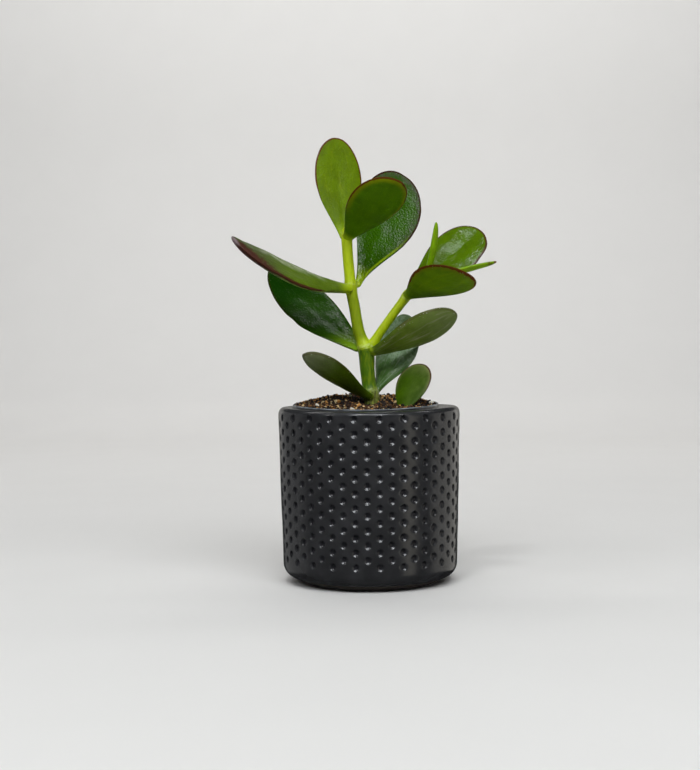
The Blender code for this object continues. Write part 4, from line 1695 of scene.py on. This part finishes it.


# Skins of the single leaves

# Its grey-green end tint is painted sheen towards the tip.
DEEP = LeafSkin(
    "leaf_deep", upper=(0.055, 0.130, 0.000), lower=(0.050, 0.088, 0.000), margin_strength=0.35,
    base_reach=0.05, bloom_and_sheen=0.0, streak=0.25, streak_colour=(0.11, 0.14, 0.05), shine=0.12, speckle=0.8,
    end_tint=(0.17, 0.19, 0.10), end_share=0.75, end_from=0.55, end_to=1.0,
)
GLOSS = LeafSkin(
    "leaf_gloss", upper=(0.030, 0.098, 0.000), lower=(0.10, 0.20, 0.000), rough=0.13, pebble=0.085,
    margin_width=0.85, margin=(0.045, 0.012, 0.006), shine=0.24, base_reach=0.22, bloom_and_sheen=0.0, streak=0.06,
    streak_colour=(0.06, 0.16, 0.0), speckle=0.5, rim_glow=0.75, rim_colour=(0.11, 0.09, 0.085),
    rim_width=5.5, rim_mottle=0.7,
)
# The pale grey-green bloom on one side is partly the leaf's wax bloom and partly painted sheen on the face
# turned up to the light.
WAXY = LeafSkin(
    "leaf_waxy", upper=(0.085, 0.145, 0.004), lower=(0.14, 0.20, 0.03), bloom_and_sheen=1.3, bloom_and_sheen_side=True,
    bloom_and_sheen_end=0.45, bloom_and_sheen_grain=0.30, bloom_and_sheen_colour=(0.43, 0.45, 0.33), rough=0.45, blush=0.9,
    blush_from=0.88, blush_side=0.24, tip_pale=0.7, end_tint=(0.06, 0.075, 0.02), end_share=0.85,
    end_from=0.5, end_to=0.85, margin_width=0.95, margin_from=0.20, margin=(0.062, 0.008, 0.007),
    pebble=0.04, shine=0.12, streak=0.30, streak_colour=(0.24, 0.28, 0.12), base=(0.34, 0.46, 0.0),
    base_reach=0.17,
)
PALE = LeafSkin(
    "leaf_pale", upper=(0.115, 0.190, 0.0), lower=(0.115, 0.190, 0.0), rough=0.33, margin_strength=1.0,
    margin_width=0.75, margin=(0.12, 0.035, 0.0), glow=0.15, shine=0.13, bloom_and_sheen=0.0, streak=0.40,
    streak_colour=(0.25, 0.32, 0.0), pebble=0.07, clouds=1.4,
)
OLIVE = LeafSkin(
    "leaf_olive", upper=(0.08, 0.18, 0.0), lower=(0.062, 0.145, 0.0), rough=0.42, margin_width=0.55,
    glow=0.15, margin=(0.095, 0.014, 0.003), rim_glow=0.75, rim_colour=(0.20, 0.22, 0.0), shine=0.05,
    bloom_and_sheen=0.0, streak=0.15, streak_colour=(0.12, 0.20, 0.0), base_reach=0.14,
)
# Painted sheen: the pale streaks, the bloom and the grained pale end tint stand for a highlight on this leaf,
# which lies in shade.
GLOSS_PAINTED_SHEEN = replace(
    GLOSS, name="leaf_gloss_low", upper=(0.048, 0.125, 0.014), margin_strength=0.2, shine=0.30, rough=0.13,
    streak=0.55, streak_colour=(0.38, 0.46, 0.34), bloom_and_sheen=0.25, bloom_and_sheen_colour=(0.30, 0.40, 0.24), speckle=0.0,
    rim_glow=0.0, pebble=0.08, end_tint=(0.34, 0.45, 0.33), end_share=0.8, end_from=0.28, end_to=0.50,
    end_grain=0.55, base=(0.10, 0.20, 0.02), base_reach=0.10,
)
# Painted shade: a darker copy of the gloss skin whose end turns nearly black, for the shade under the leaf
# above it.
SHADED = replace(
    GLOSS, name="leaf_gloss_left", upper=(0.018, 0.060, 0.002), margin_strength=0.3, rough=0.08, shine=0.05,
    speckle=0.2, rim_glow=0.0, base=(0.16, 0.28, 0.01), base_reach=0.3, end_tint=(0.002, 0.026, 0.0),
    end_share=0.85, end_from=0.40, end_to=0.80, pebble=0.04,
)
MID = replace(
    GLOSS, name="leaf_gloss_branch", upper=(0.076, 0.150, 0.0), rough=0.07, shine=0.18, pebble=0.075,
    margin_width=0.85, margin=(0.07, 0.016, 0.004), rim_glow=0.0,
)
LIT = replace(GLOSS, name="leaf_gloss_third", lit_edge=0.8, pebble=0.105, shine=0.27)
MATTE = replace(
    DEEP, name="leaf_deep_right", upper=(0.06, 0.15, 0.0), lower=(0.095, 0.145, 0.014), lower_rough=0.5,
    streak=0.9, streak_colour=(0.25, 0.27, 0.13), end_tint=(0.16, 0.20, 0.08), end_share=0.45, end_from=0.45,
    end_to=0.95, shine=0.10, base_reach=0.08, clouds=1.4,
)
# Painted sheen and highlight: the bloom on one side, the pale end tint and the pale band inside the edge.
LONE = replace(
    DEEP, name="leaf_lone", upper=(0.034, 0.076, 0.0), clouds=1.6, margin_strength=0.85, margin_from=0.35,
    shine=0.12, base_reach=0.02, speckle=0.0, streak=0.1, end_tint=(0.16, 0.19, 0.06), end_share=0.4,
    end_from=0.6, margin_width=0.6, bloom_and_sheen=0.3, bloom_and_sheen_side=True, bloom_and_sheen_colour=(0.20, 0.24, 0.09),
    rim_glow=0.45, rim_colour=(0.24, 0.25, 0.09), rim_width=2.2,
)
SHIELD = replace(
    OLIVE, name="leaf_olive_branch", lower=(0.080, 0.155, 0.0), margin_width=0.9, margin_strength=0.95,
    margin_from=0.1, margin=(0.10, 0.018, 0.0), rim_colour=(0.14, 0.16, 0.0), streak=0.55, margin_wander=1.5,
    clouds=1.5, pebble=0.06, shine=0.09, streak_colour=(0.18, 0.26, 0.0), speckle=0.5,
)
YOUNG = replace(
    PALE, name="leaf_young", upper=(0.17, 0.31, 0.0), lower=(0.17, 0.31, 0.0), margin_strength=0.0,
)
BLUSHED = replace(YOUNG, name="leaf_young_blushed", blush=0.9)


@dataclass
class Foliage:
    """Every leaf of the plant, from the lowest pair up, then the side branch and the one in the mix."""

    # Name, slot, base, heading, rise, roll, length, width, thickness, bend, cup, widest place, neck,
    # flare and skin.
    leaves: tuple[Leaf, ...] = (
        Leaf(
            "leaf_1_front", "leaf_deep", (0.7, -3, 80.7), -151, 25.7, 11.4, 37, 20.2, 4.2, 11.5, .16, .68,
            .21, 1.66, DEEP, heart=(0.85, -0.1, 81.2), seed=1,
        ),
        Leaf(
            "leaf_1_back", "leaf_gloss", (3.1, 2.5, 83.3), 33.7, 50.8, 14.2, 37.6, 24.4, 4.2, 31.5, -.05,
            .56, .16, 1.6, GLOSS_PAINTED_SHEEN, heart=(0.5, 0.0, 83.4), seed=2,
        ),
        Leaf(
            "leaf_2_back", "leaf_gloss", (-4.2, 2.6, 102.6), 147.5, 26.4, -20.1, 58, 28.8, 4.4, 32, .08,
            .55, .28, 1.33, SHADED, heart=(-1.5, 0.0, 102.0), seed=3,
            margins=((0.50, 1.0, -0.7, 0.05), (0.42, 1.0, 0.35, 0.06)),
        ),
        Leaf(
            "leaf_2_front", "leaf_deep", (2.6, -2.5, 100.6), -23.3, 15.7, -25.4, 40.7, 22.6, 4.4, 18, .11,
            .62, .27, 1.39, MATTE, heart=(-1.0, 0.0, 100.8), seed=4,
        ),
        Leaf(
            "leaf_3_front", "leaf_waxy", (-8.4, -2.2, 128.4), -146.7, 4.9, -30.4, 63.7, 27.9, 5.4, 29.4, 0,
            .56, .20, 1.49, WAXY, heart=(-7.35, 0.0, 128.9), tip_drop=1.2, seed=5,
        ),
        Leaf(
            "leaf_3_back", "leaf_gloss", (-4.4, 1.7, 130.2), 58.4, 54.5, 55.7, 61.6, 30.4, 4.6, 11.2, .18,
            .67, .10, 1.64, LIT, heart=(-7.45, 0.0, 130.2), seed=6, fold=0.04, crease=0.06, uneven=0.22,
        ),
        Leaf(
            "leaf_4_back", "leaf_pale", (-9.9, 1.8, 151.3), 120.4, 71.5, -3.4, 45.4, 23, 3.6, 20.4, .08,
            .60, .22, 1.32, PALE, heart=(-9.05, 0.0, 151.0), seed=7,
        ),
        Leaf(
            "leaf_4_front", "leaf_olive", (-8.2, -1.8, 150.8), -54.5, 28.6, -15.3, 40, 24.2, 3.6, 7, .12,
            .62, .23, 1.29, OLIVE, heart=(-9.0, 0.0, 150.6), seed=8,
        ),
        Leaf(
            "branch_leaf_1_front", "leaf_olive", (17.9, -.9, 125), -51.6, 10.1, -20.2, 37.4, 27.4, 3.8, 3.9,
            .08, .64, .21, 1.35, SHIELD, heart=(17.5, 0.8, 125.3), seed=9,
        ),
        Leaf(
            "branch_leaf_1_back", "leaf_gloss", (18.8, 3.8, 126.3), 29.1, 33, 39.8, 45.3, 24.2, 3.8, 18.8,
            .14, .66, .21, 1.38, MID, heart=(18.1, 0.9, 126.1), seed=10, fold=0.34, uneven=0.3,
            margins=((0.90, -1.0, 0.5, 0.06), (0.74, -1.0, -0.35, 0.06)),
        ),
        Leaf(
            "branch_leaf_2_left", "leaf_pale", (26.2, 2.7, 135), 170, 107, 0, 22.8, 6.4, 2.8, 12, .12, .60,
            .50, 1.2, YOUNG, heart=(25.4, 1.6, 133.6), seed=11, uneven=.05, ragged=.05,
        ),
        Leaf(
            "branch_leaf_2_right", "leaf_pale", (28.4, .9, 132.7), .8, 14.9, 1.4, 29.3, 6.4, 2.7, -2.5, .12,
            .62, .50, 1.2, BLUSHED, heart=(25.6, 1.6, 133.0), seed=12, uneven=.05, ragged=.05,
        ),
        Leaf(
            "leaf_in_soil", "leaf_deep", (14.7, -13, 75.4), 45.3, 53.8, 5.4, 22.6, 18.3, 3.2, 12.5, .08,
            .60, .32, 1.0, LONE, seed=13, fold=0.08,
        ),
    )

    def dress(self) -> list[Piece]:
        """Builds, colours and places every leaf."""
        return [leaf.dress() for leaf in self.leaves]


# Studio


class Reach(Enum):
    """What a light does: both, only the even light on surfaces, or only its mirror image in them."""

    BOTH = "both"
    EVEN = "even"
    MIRRORED = "mirrored"


WARM: Colour = (1.0, 0.97, 0.90)
AMBER: Colour = (1.0, 0.94, 0.80)


@dataclass(frozen=True)
class SoftLight:
    """One large soft light, aimed at the plant."""

    name: str
    place: Point
    aim: Point
    width: float
    depth: float
    watts: float
    tint: Colour = (1.0, 1.0, 1.0)
    reach: Reach = Reach.BOTH

    def hang(self) -> None:
        """Makes the light."""
        lamp = bpy.data.lights.new(self.name, "AREA")
        lamp.shape = "RECTANGLE"
        lamp.size, lamp.size_y = self.width, self.depth
        lamp.energy = self.watts
        lamp.color = self.tint
        held = bpy.data.objects.new(self.name, lamp)
        held.visible_glossy = self.reach is not Reach.EVEN
        held.visible_diffuse = self.reach is not Reach.MIRRORED
        bpy.context.scene.collection.objects.link(held)
        held.location = self.place
        held.rotation_euler = (Vector(self.aim) - Vector(self.place)).to_track_quat("-Z", "Y").to_euler()


@dataclass
class Studio:
    """Pale floor in millimetres, with soft lights and the camera in metres."""

    image_width: int = 700
    image_height: int = 770
    sensor: float = 36.0
    focal_pixels: float = 1250.0
    axis_column: float = 368.7
    level_row: float = 365.0
    eye: Point = (0.0, -0.55125, 0.0947)
    lean: float = 0.6
    nearest: float = 0.01
    sky: Colour = (0.93, 0.95, 1.0)
    sky_strength: Band = (0.02, 0.12)
    sky_from: float = 0.4
    floor: PaleFloor = field(default_factory=PaleFloor)
    floor_rows: Point = (-290.0, -100.0, 400.0)
    floor_half_width: float = 2600.0
    floor_columns: int = 9
    floor_gap: float = 0.05
    sweep_y: float = 1500.0
    sweep_bend: float = 500.0
    sweep_height: float = 2200.0
    sweep_steps: int = 24
    lights: tuple[SoftLight, ...] = (
        SoftLight(
            "key", (0.05, -0.72, 0.82), (0.0, 0.0, 0.08), 1.00, 0.50, 7.9, (0.95, 0.98, 1.0), Reach.EVEN,
        ),
        SoftLight(
            "front_softbox", (0.02, -0.76, 0.84), (0.0, 0.0, 0.06), 0.80, 0.36, 9.4, (0.92, 0.96, 1.0),
            Reach.MIRRORED,
        ),
        SoftLight("skylight", (-0.13, -0.45, 1.02), (0.0, 0.0, 0.12), 0.10, 0.10, 1.2),
        SoftLight(
            "rear_skylight", (0.33, 0.16, 1.05), (0.0, 0.0, 0.12), 0.07, 0.07, 0.14, reach=Reach.MIRRORED,
        ),
        SoftLight("left_panel", (-0.79, -0.57, 0.70), (0.0, 0.0, 0.10), 0.28, 0.17, 1.3),
        SoftLight("right_panel", (0.66, -0.71, 0.74), (0.0, 0.0, 0.14), 0.19, 0.19, 1.0),
        SoftLight(
            "right_strip", (0.90, -0.74, 0.0), (0.0, 0.0, 0.0), 0.34, 0.90, 0.85, AMBER, Reach.MIRRORED,
        ),
        SoftLight(
            "right_screen", (1.05, 0.55, 0.0), (0.0, 0.0, 0.0), 1.50, 0.90, 2.6, WARM, Reach.MIRRORED,
        ),
        SoftLight(
            "left_strip", (-0.90, 0.52, 0.0), (0.0, 0.0, 0.0), 1.20, 0.90, 0.95, reach=Reach.MIRRORED,
        ),
        SoftLight(
            "rear_screen", (0.0, 1.20, 0.20), (0.0, 0.0, 0.10), 2.00, 0.50, 1.1, WARM, Reach.MIRRORED,
        ),
        SoftLight(
            "front_bar", (0.0, -1.20, 0.075), (0.0, 0.0, 0.075), 3.00, 0.15, 0.5, reach=Reach.MIRRORED,
        ),
        SoftLight("backdrop_wash", (0.0, 0.55, 1.30), (0.0, 1.5, 0.35), 2.0, 0.3, 14.0),
    )

    def set_camera(self) -> None:
        """Makes the camera that looks at the plant from the photographed angle."""
        ahead = Vector((
            -(self.axis_column - self.image_width / 2) / self.focal_pixels, 1.0,
            -(self.image_height / 2 - self.level_row) / self.focal_pixels,
        )).normalized()
        right = ahead.cross(Vector((0, 0, 1))).normalized()
        up = right.cross(ahead)
        lean = math.radians(self.lean)
        right, up = right * math.cos(lean) - up * math.sin(lean), up * math.cos(lean) + right * math.sin(lean)
        lens = bpy.data.cameras.new("photo_view")
        lens.sensor_width = self.sensor
        lens.lens = self.focal_pixels * self.sensor / max(self.image_width, self.image_height)
        lens.clip_start = self.nearest
        camera = bpy.data.objects.new("photo_view", lens)
        bpy.context.scene.collection.objects.link(camera)
        turn = Matrix((right, up, -ahead)).transposed().to_4x4()
        camera.matrix_world = Matrix.Translation(self.eye) @ turn
        bpy.context.scene.camera = camera

    def lay_floor(self) -> None:
        """Makes the pale floor, which sweeps up behind the plant."""
        start = self.sweep_y - self.sweep_bend
        profile = [(y, 0.0) for y in (*self.floor_rows, start)]
        for k in range(1, self.sweep_steps + 1):
            turn = math.pi / 2 * k / self.sweep_steps
            profile.append((start + self.sweep_bend * math.sin(turn), self.sweep_bend * (1 - math.cos(turn))))
        profile.append((self.sweep_y, self.sweep_height))
        draft = Draft()
        columns = np.linspace(-self.floor_half_width, self.floor_half_width, self.floor_columns)
        for y, z in profile:
            draft.add(np.stack([columns, 0 * columns + y, 0 * columns + z - self.floor_gap], axis=1))
        count = self.floor_columns
        for first in range(0, (len(profile) - 1) * count, count):
            draft.faces.extend((i, i + 1, i + count + 1, i + count) for i in range(first, first + count - 1))
        floor = draft.finish("studio_floor")
        floor.data.materials.append(self.floor.material())
        floor.visible_glossy = False

    def set_sky(self) -> None:
        """Surrounds the studio with plain light that grows brighter overhead."""
        world = bpy.data.worlds.new("studio_sky")
        bpy.context.scene.world = world
        sky = Wiring(world)
        height = sky.axis(sky.wire("TexCoord", "Generated", {}), "Z")
        backdrop = sky.tree.nodes["Background"]
        sky.feed(backdrop.inputs["Strength"], sky.ease(height, self.sky_from, 1.0, *self.sky_strength))
        sky.feed(backdrop.inputs["Color"], self.sky)
        bpy.context.scene.view_settings.view_transform = "Standard"

    def set_up(self) -> None:
        """Makes the whole studio."""
        self.set_camera()
        self.lay_floor()
        self.set_sky()
        for light in self.lights:
            light.hang()


def write_sizes() -> None:
    """Updates the view layer.
    """
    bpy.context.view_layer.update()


def main() -> None:
    """Builds and dresses the potted plant in its studio, and reports each of its pieces."""
    logging.basicConfig(level=logging.INFO, format="%(message)s")
    Studio().set_up()
    foliage = Foliage()
    for part in (Pot(), PottingMix(), Stem(leaves=foliage.leaves), foliage):
        for piece in part.dress():
            LOG.info("%s: %d faces, %s", piece.name, len(piece.data.polygons), piece.active_material.name)
    write_sizes()


if __name__ == "__main__":
    main()
